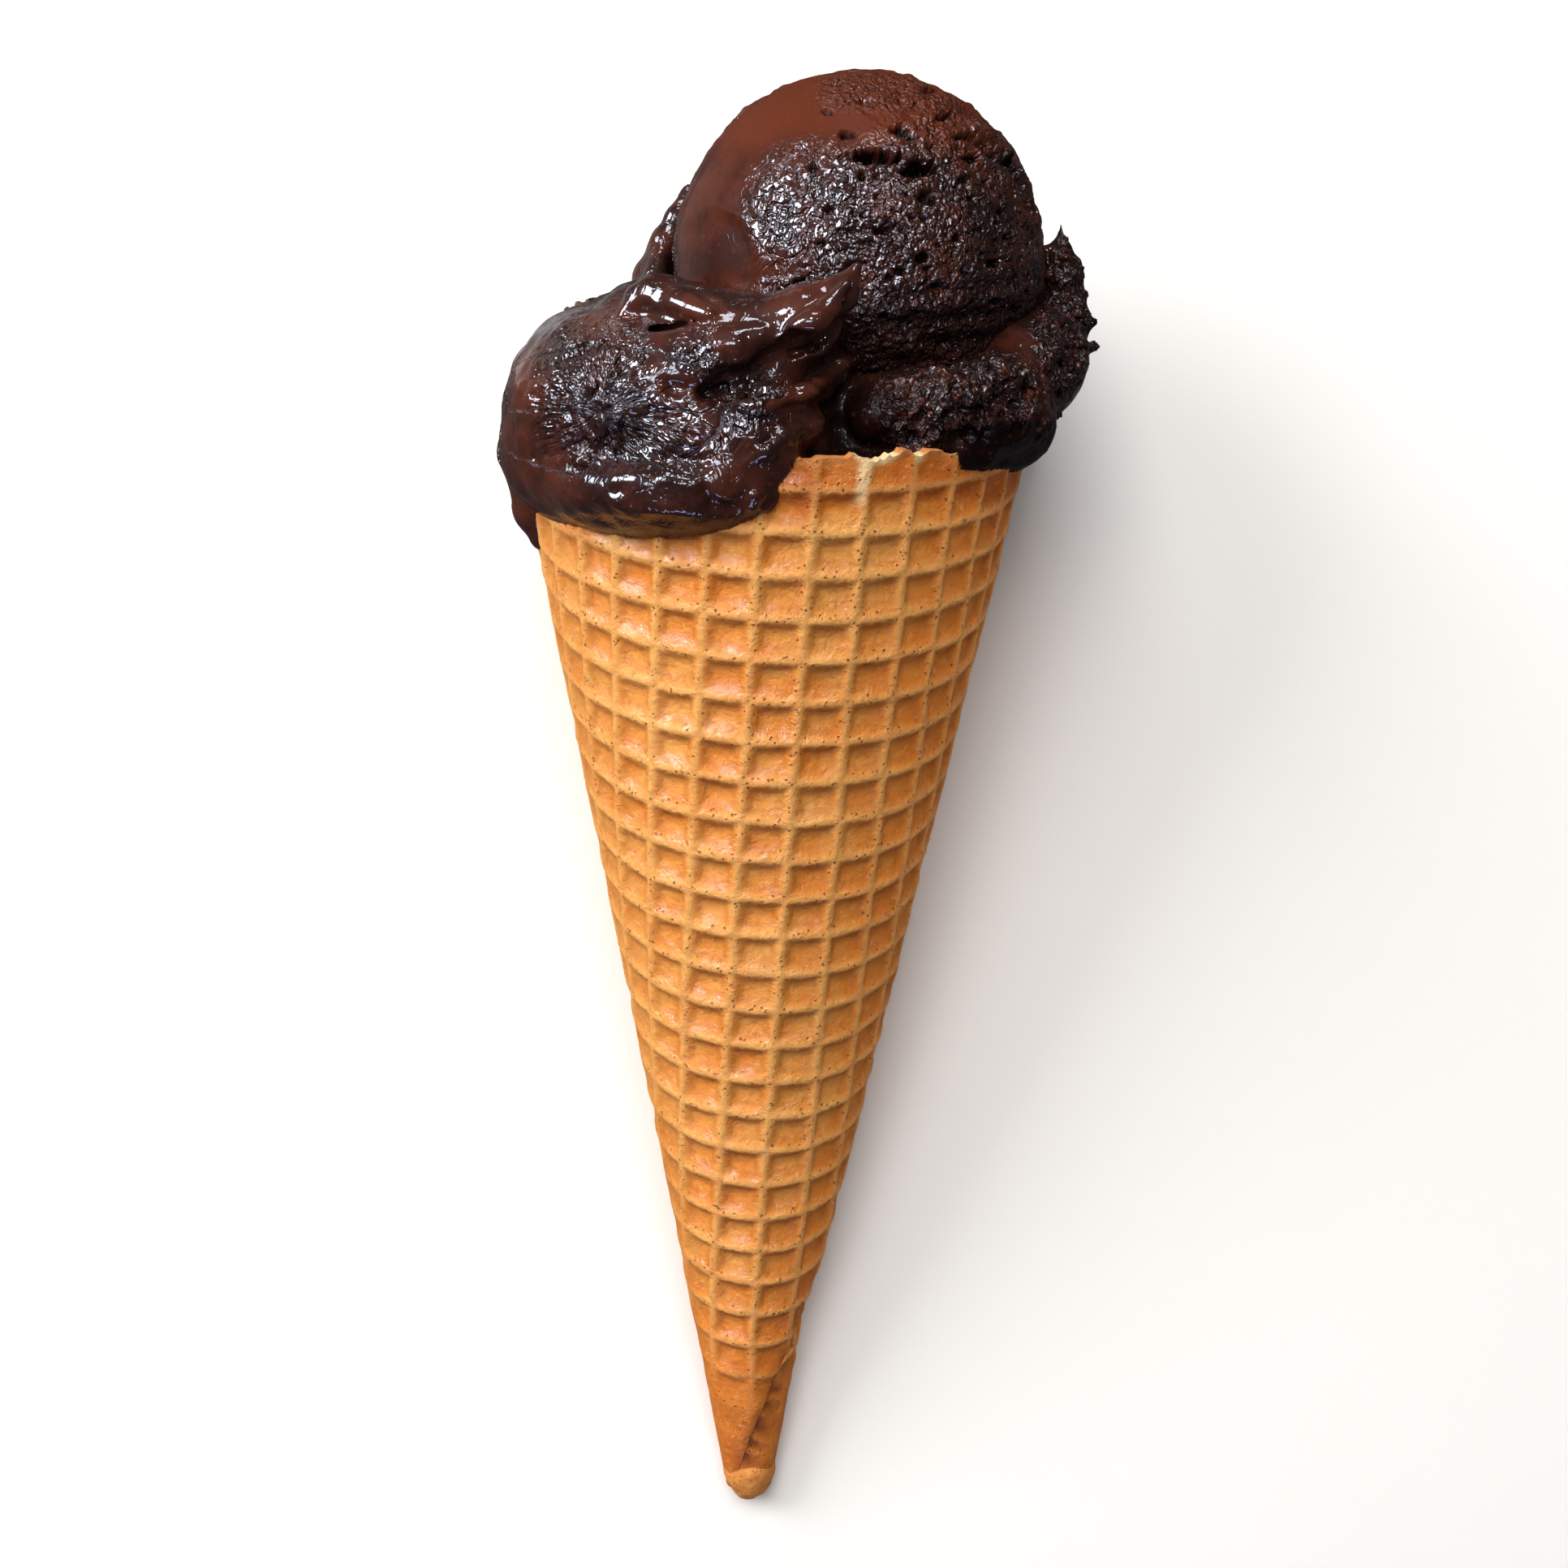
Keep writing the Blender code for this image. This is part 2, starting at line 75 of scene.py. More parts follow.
# Wafer sheet, in millimetres
HALF_ANGLE = math.radians(11.53)
CONE_SINE = math.sin(HALF_ANGLE)
CONE_COSINE = math.cos(HALF_ANGLE)
RIM_SLANT = 161.0
RIM_HIGH_SIDE = math.radians(25.0)
RIM_FALL = 0.08
SHEET_THICKNESS = 1.8
SAME_PLACE = 0.001
RELIEF = 0.95
COLUMN_PITCH = 5.97
ROW_PITCH = 5.14
COLUMN_START = -1.03
ROW_START = 1.96
COLUMN_HEADING = math.radians(12.6)
RIDGE_CROWN = 0.2
UPPER_WALL = 1.5
LOWER_WALL = 2.3
SIDE_WALL = 1.7
RIM_BITES = ((22.6, 4.2, 1.35), (27.2, 1.7, 0.7), (33.4, 2.3, 0.6), (9.0, 1.6, 0.35), (41.0, 1.5, 0.3))
FRONT_DIP = 1.25
CRACK_ANGLE = math.radians(20.6)
CRACK_LENGTH = 6.5

# Roll
LAYER_GAP = 0.3
SPIRAL_ZERO = math.radians(-25.0)
EDGE_AT_RIM = math.radians(190.0)
EDGE_TURN = math.radians(295.0)
OVERLAP = math.radians(48.0)
OVERLAP_STARTS = 58.0
OVERLAP_FULL = 95.0
STEP_AT_TIP = 0.12
STEP_GROWS_FROM = 34.0
THINNING_STARTS = 35.0
TIP_SWELL = 1.0
TIP_BEND = 1.0
TIP_BENDS_BELOW = 45.0
SEAM_GAP = 0.35
EDGE_BOW = math.radians(3.5)
BLANK_START = 13.4
NOSE_START = 10.25
NOSE_SHOULDER = 16.0
NOSE_END = 21.0
NOSE_RADIUS = 3.72
NOSE_DIMPLE = (-0.1, 11.6, 2.3)
CRISP_ANGLE = math.radians(55.0)

# Scoops
BALL_CENTRE = np.array((10.8, 178.9, -2.0))
BALL_RADIUS = 23.2
BALL_NET_SIDE = 126
BALL_PITS = 420
LOWER_TRIANGLES = 196000
GRID_STEP = 0.38
GRID_LOW = np.array((-42.0, 136.0, -32.0))
GRID_HIGH = np.array((45.0, 193.0, 40.0))
FAR_OUT = 9.0
DRAWN_BLEND = 0.6
DRAWN_TAPER = 0.45
FILLING_TOP = 150.0
FILLING_HALF_DEPTH = 6.0
FILLING_BOTTOM = 146.0
WALL_CUT = 0.55
SIGHT_STEPS = 160
SMOOTHING_ROUNDS = 10

# Studio lamps, which aim at this height on the cone's axis, in millimetres
LAMPS_AIM = 110.0
WARM_LIGHT = (1.0, 0.97, 0.93)

# Lamps lying on the floor at the left, in metres: each one's width and power, and where they lie
SHEEN_LAMPS = ((0.09, 0.05), (0.16, 0.07))
SHEEN_LENGTH = 0.27
SHEEN_RIGHT = -0.04
SHEEN_MIDDLE = 0.205
SHEEN_HEIGHT = 0.001

# Chocolate of each scoop, from its darkest to its reddest
UPPER_ICE = ((0.016, 0.0045, 0.003), (0.092, 0.019, 0.0066))
LOWER_ICE = ((0.016, 0.0052, 0.004), (0.09, 0.0205, 0.0092))


# Noise

def random_table(rows, low, high, seed):
    return np.random.default_rng(seed).uniform(low, high, (rows, 3))


TABLE_SIZE = 1024
SPIKES = random_table(TABLE_SIZE, -1.0, 1.0, 5)
SPIKES /= np.linalg.norm(SPIKES, axis=1, keepdims=True)
CENTRES = random_table(TABLE_SIZE, 0.0, 1.0, 9)


def table_row(cells, seed):
    """A repeatable row of a random table for each lattice cell, mixed from it by large odd numbers."""
    x, y, z = (cells[:, axis].astype(np.uint64) for axis in range(3))
    mixed = x * np.uint64(374761393) + y * np.uint64(668265263) + z * np.uint64(2246822519)
    mixed = (mixed + np.uint64(seed * 3266489917)) & np.uint64(0xFFFFFFFF)
    mixed = ((mixed ^ (mixed >> np.uint64(13))) * np.uint64(1274126177)) & np.uint64(0xFFFFFFFF)
    return ((mixed ^ (mixed >> np.uint64(16))) % np.uint64(TABLE_SIZE)).astype(np.int64)


def noise(points, size, seed):
    """Soft noise from about -1 to 1 with lumps of this size."""
    points = points / size
    base = np.floor(points).astype(np.int64)
    part = points - base
    fade = part ** 3 * (part * (part * 6.0 - 15.0) + 10.0)
    value = np.zeros(len(points))
    for corner in itertools.product((0, 1), repeat=3):
        spike = SPIKES[table_row(base + np.array(corner), seed)]
        weight = np.prod(np.where(corner, fade, 1.0 - fade), axis=1)
        value += weight * np.einsum("ij,ij->i", spike, part - corner)
    return 1.6 * value


def cell_noise(points, size, seed):
    """Distances to the nearest and second nearest of scattered centres about this far apart."""
    points = points / size
    base = np.floor(points).astype(np.int64)
    first = np.full(len(points), 9.0)
    second = np.full(len(points), 9.0)
    for shift in itertools.product((-1, 0, 1), repeat=3):
        cell = base + np.array(shift)
        distance = length(points - cell - CENTRES[table_row(cell, seed)])
        second = np.minimum(second, np.maximum(first, distance))
        first = np.minimum(first, distance)
    return first, second


def length(vectors):
    return np.linalg.norm(vectors, axis=-1)


def ramp(low, high, value):
    """0 at low and 1 at high, eased in between."""
    share = np.clip((value - low) / (high - low), 0.0, 1.0)
    return share * share * (3.0 - 2.0 * share)


# Camera geometry, in the wafer's axes

def camera_axes():
    """The wafer's three axes as the camera sees them, one in each row."""
    sin_e, cos_e = math.sin(CAMERA_PITCH), math.cos(CAMERA_PITCH)
    sin_r, cos_r = math.sin(CAMERA_ROLL), math.cos(CAMERA_ROLL)
    return np.array((
        (cos_r, -sin_r, 0.0),
        (sin_r * cos_e, cos_r * cos_e, sin_e),
        (-sin_r * sin_e, -cos_r * sin_e, cos_e),
    ))


CAMERA_AXES = camera_axes()
CAMERA_PLACE = CAMERA_AXES @ np.array((
    FRAME_MIDDLE - APEX_PIXEL[0], APEX_PIXEL[1] - FRAME_MIDDLE, CAMERA_DISTANCE,
)) * MM_PER_PIXEL


def sight_line(x, y):
    """The direction from the camera through a pixel of the photograph's frame."""
    seen = np.array((x - FRAME_MIDDLE, FRAME_MIDDLE - y, -CAMERA_DISTANCE))
    line = CAMERA_AXES @ seen
    return line / np.linalg.norm(line)


def on_ball(x, y):
    """The direction from the upper scoop's centre to the place on it that this pixel shows."""
    line = sight_line(x, y)
    to_centre = BALL_CENTRE - CAMERA_PLACE
    along = to_centre @ line
    miss = to_centre @ to_centre - along ** 2
    depth = along - math.sqrt(max(0.0, BALL_RADIUS ** 2 - miss))
    place = CAMERA_PLACE + depth * line - BALL_CENTRE
    return place / np.linalg.norm(place)


# Objects

def cone_axes():
    return Matrix.Translation(APEX) @ Matrix.Rotation(TILT, 4, "X")


def to_ground(points):
    """Places in metres where the cone lies, from millimetres in the wafer's axes, none under the floor."""
    turn = np.array(cone_axes())
    placed = points * MM @ turn[:3, :3].T + turn[:3, 3]
    placed[:, 2] = np.maximum(placed[:, 2], 0.0)
    return placed


def mesh_object(name, points, faces, smooth=True):
    mesh = bpy.data.meshes.new(name)
    mesh.from_pydata(np.asarray(points).tolist(), [], [list(face) for face in faces])
    mesh.validate()
    shade_smooth(mesh, smooth)
    obj = bpy.data.objects.new(name, mesh)
    bpy.context.scene.collection.objects.link(obj)
    return obj


def store(obj, **named):
    """Keeps one number, or one point, for each vertex under each name."""
    for name, values in named.items():
        values = np.asarray(values, np.float32)
        kind, field = ("FLOAT_VECTOR", "vector") if values.ndim == 2 else ("FLOAT", "value")
        obj.data.attributes.new(name, kind, "POINT").data.foreach_set(field, values.ravel())


def read_vectors(collection, name):
    vectors = np.empty(3 * len(collection))
    collection.foreach_get(name, vectors)
    return vectors.reshape(-1, 3)


def vertex_normals(obj):
    return read_vectors(obj.data.vertex_normals, "vector")


def move_vertices(obj, places):
    obj.data.vertices.foreach_set("co", np.asarray(places, np.float32).ravel())
    obj.data.update()


@contextlib.contextmanager
def opened(obj):
    """The object's mesh, open for work and then written back."""
    bm = bmesh.new()
    bm.from_mesh(obj.data)
    yield bm
    bm.to_mesh(obj.data)
    bm.free()


def shade_smooth(mesh, smooth=True):
    mesh.polygons.foreach_set("use_smooth", [smooth] * len(mesh.polygons))


def apply_modifiers(obj):
    bpy.context.view_layer.update()
    graph = bpy.context.evaluated_depsgraph_get()
    worked = bpy.data.meshes.new_from_object(obj.evaluated_get(graph))
    obj.modifiers.clear()
    obj.data = worked
    shade_smooth(worked)


def crisp_edges(obj, angle):
    """Edges that bend by more than this angle shade sharply."""
    with opened(obj) as bm:
        for edge in bm.edges:
            edge.smooth = len(edge.link_faces) != 2 or edge.calc_face_angle(0.0) < angle


# Wafer

def edge_angle(slant):
    """Angle round the cone of the sheet's outer edge: at the back by the rim, in front by the tip."""
    share = np.minimum(1.0, slant / RIM_SLANT)
    return EDGE_AT_RIM - EDGE_TURN * (1.0 - share) ** 3


def inner_edge_angle(slant):
    overlap = OVERLAP * ramp(OVERLAP_STARTS, OVERLAP_FULL, slant)
    butt = SEAM_GAP / (slant * CONE_SINE) * (1.0 - ramp(0.0, 0.2, overlap / OVERLAP))
    butt = butt * (0.1 + 0.9 * ramp(24.0, 34.0, slant))
    return edge_angle(slant) - FULL_TURN - overlap + butt


def rim_bites(angle):
    """How deep the rim is broken away here."""
    ragged = 1.0 + 0.12 * np.sin(FULL_TURN * angle / math.radians(1.9)) * np.sin(17.0 * angle)
    bites = np.zeros_like(angle)
    for middle, width, depth in RIM_BITES:
        reach = np.abs(angle - math.radians(middle)) / math.radians(width)
        bites = np.maximum(bites, depth * np.maximum(0.0, 1.0 - reach ** 2.6) ** 0.6)
    return bites * ragged


def rim_slant(angle):
    """Distance from the cone's point to the rim, with its bites and crumbled edge."""
    slant = RIM_SLANT * (1.0 - RIM_FALL * 0.5 * (1.0 - np.cos(angle - RIM_HIGH_SIDE)))
    waves = 0.2 * np.sin(5.0 * angle + 0.7) + 0.15 * np.sin(11.0 * angle)
    waves -= FRONT_DIP * ramp(math.radians(19.5), math.radians(17.0), angle) * ramp(-0.4, -0.1, angle)
    crumbs = 0.05 * np.sin(47.0 * angle) * np.sin(29.0 * angle + 1.0)
    return slant + waves + crumbs - rim_bites(angle)


def flat_point(slant, angle):
    flat = (angle - COLUMN_HEADING) * CONE_SINE
    return slant * np.sin(flat), slant * np.cos(flat)


def slant_and_angle(x, y):
    return np.hypot(x, y), np.arctan2(x, y) / CONE_SINE + COLUMN_HEADING


def thinning(slant):
    return np.minimum(1.0, slant / THINNING_STARTS)


def spiral_offset(slant, angle):
    turns = (angle - SPIRAL_ZERO) / FULL_TURN
    step = STEP_AT_TIP + (1.0 - STEP_AT_TIP) * ramp(STEP_GROWS_FROM, OVERLAP_STARTS, slant)
    return (SHEET_THICKNESS + LAYER_GAP) * turns * step + TIP_SWELL * (1.0 - thinning(slant))


def tip_bend(slant):
    return TIP_BEND * np.maximum(0.0, 1.0 - slant / TIP_BENDS_BELOW)


def on_cone(slant, angle, out):
    radius = slant * CONE_SINE + out * CONE_COSINE
    along = slant * CONE_COSINE - out * CONE_SINE
    return np.stack((radius * np.sin(angle) + tip_bend(slant), along, radius * np.cos(angle)), axis=1)


def cell_relief(across, along):
    """How deep the sheet is pressed here, 0 on a ridge and 1 on a cell's floor.

    Each cell is a skewed pyramid: steep under the ridge on the rim's side and easy above the next one.
    """
    x = (across + 0.5) % 1.0 - 0.5
    y = (along + 0.5) % 1.0 - 0.5
    side = (np.abs(x) * COLUMN_PITCH - RIDGE_CROWN) / (SIDE_WALL - RIDGE_CROWN)
    wall = np.where(y < 0.0, UPPER_WALL, LOWER_WALL)
    end = (np.abs(y) * ROW_PITCH - RIDGE_CROWN) / (wall - RIDGE_CROWN)
    nearest = np.minimum(side, end)
    blend = 0.3
    corner = np.maximum(0.0, blend - np.abs(side - end)) / blend
    nearest = np.clip(nearest - 0.25 * blend * corner ** 2, 0.0, 1.0)
    return 0.55 * nearest + 0.45 * ramp(0.0, 1.0, nearest)


def cell_place(x, y):
    """Which cell a flat place is in, and how far across and along it, with the pattern's slight wobble."""
    flat = flat_grid(x, y)
    wobble_x = 0.22 * noise(flat, 9.0, 1) + 0.07 * noise(flat, 2.3, 2)
    wobble_y = 0.22 * noise(flat, 8.0, 3) + 0.07 * noise(flat, 2.1, 4)
    return (x + wobble_x - COLUMN_START) / COLUMN_PITCH, (y + wobble_y - ROW_START) / ROW_PITCH


def cell_sides(x, y):
    """Shares of the painted shade line close under each ridge, on its steep wall, and of the easy slope
    above it.
    """
    across, along = cell_place(x, y)
    column = np.abs((across + 0.5) % 1.0 - 0.5) * COLUMN_PITCH
    row = ((along + 0.5) % 1.0 - 0.5) * ROW_PITCH
    inside = ramp(0.3, 0.8, column)
    crease = inside * ramp(-0.95, -0.5, row) * ramp(-0.05, -0.3, row)
    slope = inside * ramp(0.2, 0.6, row) * ramp(2.4, 1.3, row)
    return crease, slope


def waffle_surface(x, y):
    """Height of the sheet's outer face at a flat place, with the waffle's uneven ridges and blisters."""
    flat = flat_grid(x, y)
    across, along = cell_place(x, y)
    depth = cell_relief(across, along)
    slant, angle = slant_and_angle(x, y)
    fade = 0.12 + 0.88 * ramp(25.0, 40.0, slant)
    fade *= 1.0 - 0.35 * ramp(6.0, 2.0, rim_slant(angle) - slant)
    left_side = ramp(-0.5, -1.2, angle) * ramp(-2.6, -1.9, angle)
    fade *= 1.0 - (0.4 + 0.4 * ramp(80.0, 45.0, slant)) * left_side
    cell = flat_grid(np.floor(across), np.floor(along))
    cell_depth = 1.0 + 0.2 * noise(cell + 0.5, 1.37, 6) + 0.15 * noise(flat, 12.0, 5)
    crown = 0.14 * noise(flat, 3.1, 7) + 0.07 * noise(flat, 1.1, 8)
    blisters = 0.09 * noise(flat, 1.7, 11) + 0.05 * noise(flat, 0.8, 12)
    height = -RELIEF * fade * cell_depth * depth + crown * (1.0 - depth) * fade
    height += blisters * (0.4 + 0.6 * depth)
    return height, 0.35 + (depth - 0.35) * (0.15 + 0.85 * fade)


SAMPLES_ACROSS = (0.0, 0.045, 0.1, 0.17, 0.25, 0.36, 0.5, 0.64, 0.75, 0.83, 0.9, 0.955)


def flat_grid(x, y, z=0.0):
    """Places in the flat sheet from their coordinates, with one height for all or one for each."""
    return np.stack((x, y, z + np.zeros_like(x)), axis=1)


def sheet_slab():
    """The flat sheet beyond its outline: fine on its outer face and coarse on the hidden inner one."""
    fine = len(SAMPLES_ACROSS)
    coarse = fine // 2
    reach = RIM_SLANT + 8.0
    columns = np.arange(-math.ceil(reach / COLUMN_PITCH), math.ceil(reach / COLUMN_PITCH))
    rows = np.arange(-4, math.ceil(reach / ROW_PITCH))
    middle_x = COLUMN_START + (columns + 0.5) * COLUMN_PITCH
    middle_y = ROW_START + (rows + 0.5) * ROW_PITCH
    grid_x, grid_y = np.meshgrid(middle_x, middle_y, indexing="ij")
    slant, angle = slant_and_angle(grid_x, grid_y)
    margin = 1.3 * COLUMN_PITCH
    spread = margin / (np.maximum(slant, margin) * CONE_SINE)
    used = (slant < rim_slant(angle) + margin) & (slant > BLANK_START - margin)
    used &= (angle > inner_edge_angle(slant) - spread) & (angle < edge_angle(slant) + spread)
    across = (columns[:, None] + np.array(SAMPLES_ACROSS)).ravel()
    along = (rows[:, None] + np.array(SAMPLES_ACROSS)).ravel()
    x, y = np.meshgrid(
        COLUMN_START + across * COLUMN_PITCH, ROW_START + along * ROW_PITCH, indexing="ij",
    )
    height, _ = waffle_surface(x.ravel(), y.ravel())
    top = flat_grid(x.ravel(), y.ravel(), height)
    bottom = flat_grid(x.ravel(), y.ravel(), -SHEET_THICKNESS)
    width = x.shape[1]
    below = len(top)
    faces = []
    walls = (((0, 0), (1, 0)), ((1, 1), (-1, 0)), ((0, 1), (0, -1)), ((1, 0), (0, 1)))
    for i, j in zip(*np.nonzero(used)):
        left, foot = i * fine, j * fine
        for a in range(fine):
            start = (left + a) * width + foot
            for b in range(fine):
                first = start + b
                faces.append((first, first + width, first + width + 1, first + 1))
        for a in (0, coarse):
            for b in (0, coarse):
                first = below + (left + a) * width + foot + b
                faces.append((first, first + coarse, first + coarse * (width + 1), first + coarse * width))
        for corner, step in walls:
            side = (-step[1], step[0])
            neighbour = (i - side[0], j - side[1])
            if 0 <= neighbour[0] < used.shape[0] and 0 <= neighbour[1] < used.shape[1] and used[neighbour]:
                continue
            base = (left + corner[0] * fine) * width + foot + corner[1] * fine
            stride = step[0] * width + step[1]
            upper = [base + stride * s for s in range(fine + 1)]
            lower = [below + base + stride * s for s in (fine, coarse, 0)]
            faces.append(upper[::-1] + lower[::-1])
    return np.concatenate((top, bottom)), faces


def blank_outline():
    """The cut edge of the sheet in the flat: the rim, then down one flap, across and up the other."""
    rim_steps, flap_steps, tip_steps = 900, 90, 39
    last = float(edge_angle(RIM_SLANT))
    first = float(inner_edge_angle(RIM_SLANT))
    angles = np.linspace(first, last, rim_steps + 1)
    outline = [np.stack(flat_point(rim_slant(angles), angles), axis=1)]
    share = (np.arange(1, flap_steps + 1) / flap_steps) ** 1.3
    top_out = float(rim_slant(np.array(last)))
    slants = top_out + (BLANK_START - top_out) * share
    ragged = 0.12 * np.sin(slants * 2.1) + 0.08 * np.sin(slants * 5.3 + 1.0)
    outline.append(np.stack(flat_point(slants, edge_angle(slants) + ragged / slants), axis=1))
    ends = float(edge_angle(BLANK_START)), float(inner_edge_angle(BLANK_START))
    angles = np.linspace(*ends, tip_steps + 1)[1:-1]
    outline.append(np.stack(flat_point(BLANK_START, angles), axis=1))
    top_in = float(rim_slant(np.array(first)))
    slants = BLANK_START + (top_in - BLANK_START) * ((np.arange(flap_steps) / flap_steps) ** 1.3)
    outline.append(np.stack(flat_point(slants, inner_edge_angle(slants)), axis=1))
    return np.concatenate(outline)


def cut_to_blank(sheet):
    outline = blank_outline()
    count = len(outline)
    low = np.column_stack((outline, np.full(count, -3.0 * SHEET_THICKNESS)))
    high = np.column_stack((outline, np.full(count, 2.0 * SHEET_THICKNESS)))
    sides = [(k, (k + 1) % count, count + (k + 1) % count, count + k) for k in range(count)]
    caps = [list(range(count))[::-1], list(range(count, 2 * count))]
    cutter = mesh_object("blank", np.concatenate((low, high)), sides + caps, False)
    with opened(cutter) as bm:
        bmesh.ops.recalc_face_normals(bm, faces=bm.faces)
    step = sheet.modifiers.new("Cut", "BOOLEAN")
    step.operation = "INTERSECT"
    step.solver = "MANIFOLD"
    step.object = cutter
    apply_modifiers(sheet)
    bpy.data.objects.remove(cutter)


def mend(obj):
    """Merges points that coincide, drops empty faces and spare points, and closes the nose's hidden end."""
    with opened(obj) as bm:
        bmesh.ops.remove_doubles(bm, verts=bm.verts, dist=SAME_PLACE * MM)
        bmesh.ops.dissolve_degenerate(bm, dist=SAME_PLACE * MM, edges=bm.edges)
        bmesh.ops.holes_fill(bm, edges=[edge for edge in bm.edges if edge.is_boundary], sides=0)
        bmesh.ops.dissolve_verts(bm, verts=[vert for vert in bm.verts if len(vert.link_edges) == 2])


def nose():
    """The rounded, pressed end of the rolled tip, a little uneven."""
    around, rings = 60, 34
    points, faces = [], []
    for ring in range(rings + 1):
        share = ring / rings
        along = NOSE_START + (NOSE_END - NOSE_START) * share ** 1.6
        inset = max(0.0, NOSE_SHOULDER - along) / (NOSE_SHOULDER - NOSE_START)
        radius = NOSE_RADIUS * max(0.0, 1.0 - inset ** 2) ** 0.667
        radius -= 0.2 * max(0.0, along - NOSE_SHOULDER)
        for step in range(around):
            angle = FULL_TURN * step / around
            points.append((radius * math.sin(angle), along, radius * math.cos(angle)))
    points = np.array(points)
    push = 0.22 * noise(points, 2.2, 31) + 0.08 * noise(points, 0.8, 32)
    inner = points - np.array((0.0, NOSE_SHOULDER, 0.0))
    points = points + inner / np.linalg.norm(inner, axis=1, keepdims=True) * push[:, None]
    dimple = length(points - np.array(NOSE_DIMPLE))
    points[:, 2] -= 0.45 * np.exp(-(dimple / 0.5) ** 2)
    points[:, 0] += tip_bend(NOSE_SHOULDER)
    for ring in range(rings):
        for step in range(around):
            after = (step + 1) % around
            first = ring * around
            faces.append((first + step, first + after, first + around + after, first + around + step))
    return points, faces


def waffle_cone():
    points, faces = sheet_slab()
    sheet = mesh_object("wafer", points, faces)
    cut_to_blank(sheet)
    flat = read_vectors(sheet.data.vertices, "co")
    _, depth = waffle_surface(flat[:, 0], flat[:, 1])
    inner_face = flat[:, 2] < -SHEET_THICKNESS + 0.01
    slant, angle = slant_and_angle(flat[:, 0], flat[:, 1])
    beside = (angle - inner_edge_angle(slant)) * slant * CONE_SINE
    sunk = ramp(4.2, 0.8, beside) * ramp(36.0, 29.0, slant) * ramp(15.0, 20.0, slant)
    streaks = 0.5 + 0.5 * np.sin(2.1 * slant + 1.3 * beside + 0.8 * np.sin(0.9 * slant))
    lip = (edge_angle(slant) - angle) * slant * CONE_SINE
    hidden = ramp(0.0, 1.0, (edge_angle(slant) - FULL_TURN + EDGE_BOW - angle) * slant * 0.2)
    hidden *= slant > OVERLAP_STARTS
    height = np.where(inner_face, flat[:, 2], flat[:, 2] * (1.0 - hidden) - RELIEF * hidden)
    out = spiral_offset(slant, angle) + height * thinning(slant)
    out -= np.where(inner_face, 0.0, sunk * (0.25 + 0.4 * streaks) + 0.3 * ramp(1.3, 0.0, lip))
    places = on_cone(slant, angle, out)
    rim = rim_slant(angle) - slant
    nose_points, nose_faces = nose()
    count = len(places)
    obj = mesh_object(
        "wafer_cone",
        to_ground(np.concatenate((places, nose_points))),
        [tuple(face.vertices) for face in sheet.data.polygons]
        + [tuple(count + index for index in face) for face in nose_faces],
    )
    bpy.data.objects.remove(sheet)
    extra = len(nose_points)

    def with_nose(values, nose_value=0.0):
        return np.concatenate((values, np.full(extra, nose_value)))

    nose_flat = np.column_stack((nose_points[:, 0] * 1.5 + 40.0, nose_points[:, 1], nose_points[:, 2]))
    flat_places = np.concatenate((np.column_stack((flat[:, :2], height)), nose_flat))
    slants = np.concatenate((slant, nose_points[:, 1]))
    angles = np.concatenate((angle, np.arctan2(nose_points[:, 0], nose_points[:, 2])))
    from_rim = with_nose(rim, 140.0)
    # Browner towards the right side and a little less brown towards the left, browner at the tip and along
    # the rim's right half, and patchy.
    toast = 0.26 + 0.34 * ramp(0.3, 1.2, angles) - 0.05 * ramp(-0.4, -1.3, angles)
    toast += 0.6 * ramp(60.0, 20.0, slants) + 0.5 * ramp(7.0, 4.5, from_rim) * ramp(-0.2, 0.2, angles)
    toast += 0.16 * noise(flat_places, 17.0, 21)
    toast += (0.1 + 0.3 * ramp(14.0, 4.0, from_rim)) * noise(flat_places, 4.5, 22)
    broken = ramp(0.35, 0.6, rim_bites(angles))
    edge = ramp(0.75, 0.2, from_rim) * (0.15 + 0.85 * broken)
    wander = 0.35 * noise(flat_places, 2.0, 24)
    aside = np.abs((angles - CRACK_ANGLE) * slants * CONE_SINE + 0.08 * from_rim - 0.3 + wander)
    crack = ramp(0.95, 0.35, aside) * ramp(CRACK_LENGTH, 0.5 * CRACK_LENGTH, from_rim)
    # Painted shade in the sunken strip beside the seam and along the outer flap's edge near the tip.
    dark_lip = 0.35 * ramp(0.9, 0.1, lip) * ramp(40.0, 32.0, slant)
    crease, slope = cell_sides(flat[:, 0], flat[:, 1])
    relief_left = ramp(25.0, 45.0, slant) * (1.0 - inner_face)
    store(
        obj, flat=flat_places, toast=toast,
        pressed=with_nose(np.where(inner_face, 0.5, depth), 0.15),
        cream=np.clip(np.maximum(edge, 0.8 * crack), 0.0, 1.0),
        nose=with_nose(np.zeros(len(slant)), 1.0),
        scorch=with_nose(np.maximum(sunk * (0.25 + 0.6 * streaks), dark_lip)),
        crease=with_nose(crease * relief_left), slope=with_nose(slope * relief_left),
    )
    mend(obj)
    crisp_edges(obj, CRISP_ANGLE)
    return obj


# Distance fields of the lower scoop

def grid_points():
    axes = [np.arange(low, high, GRID_STEP) for low, high in zip(GRID_LOW, GRID_HIGH)]
    return np.stack(np.meshgrid(*axes, indexing="ij"), axis=-1).astype(np.float32)


def soft_union(first, second, width):
    mix = np.clip(0.5 + 0.5 * (second - first) / width, 0.0, 1.0)
    return second + (first - second) * mix - width * mix * (1.0 - mix)


def soft_cut(first, second, width):
    """What is in the first field and not in the second."""
    return -soft_union(-first, second, width)


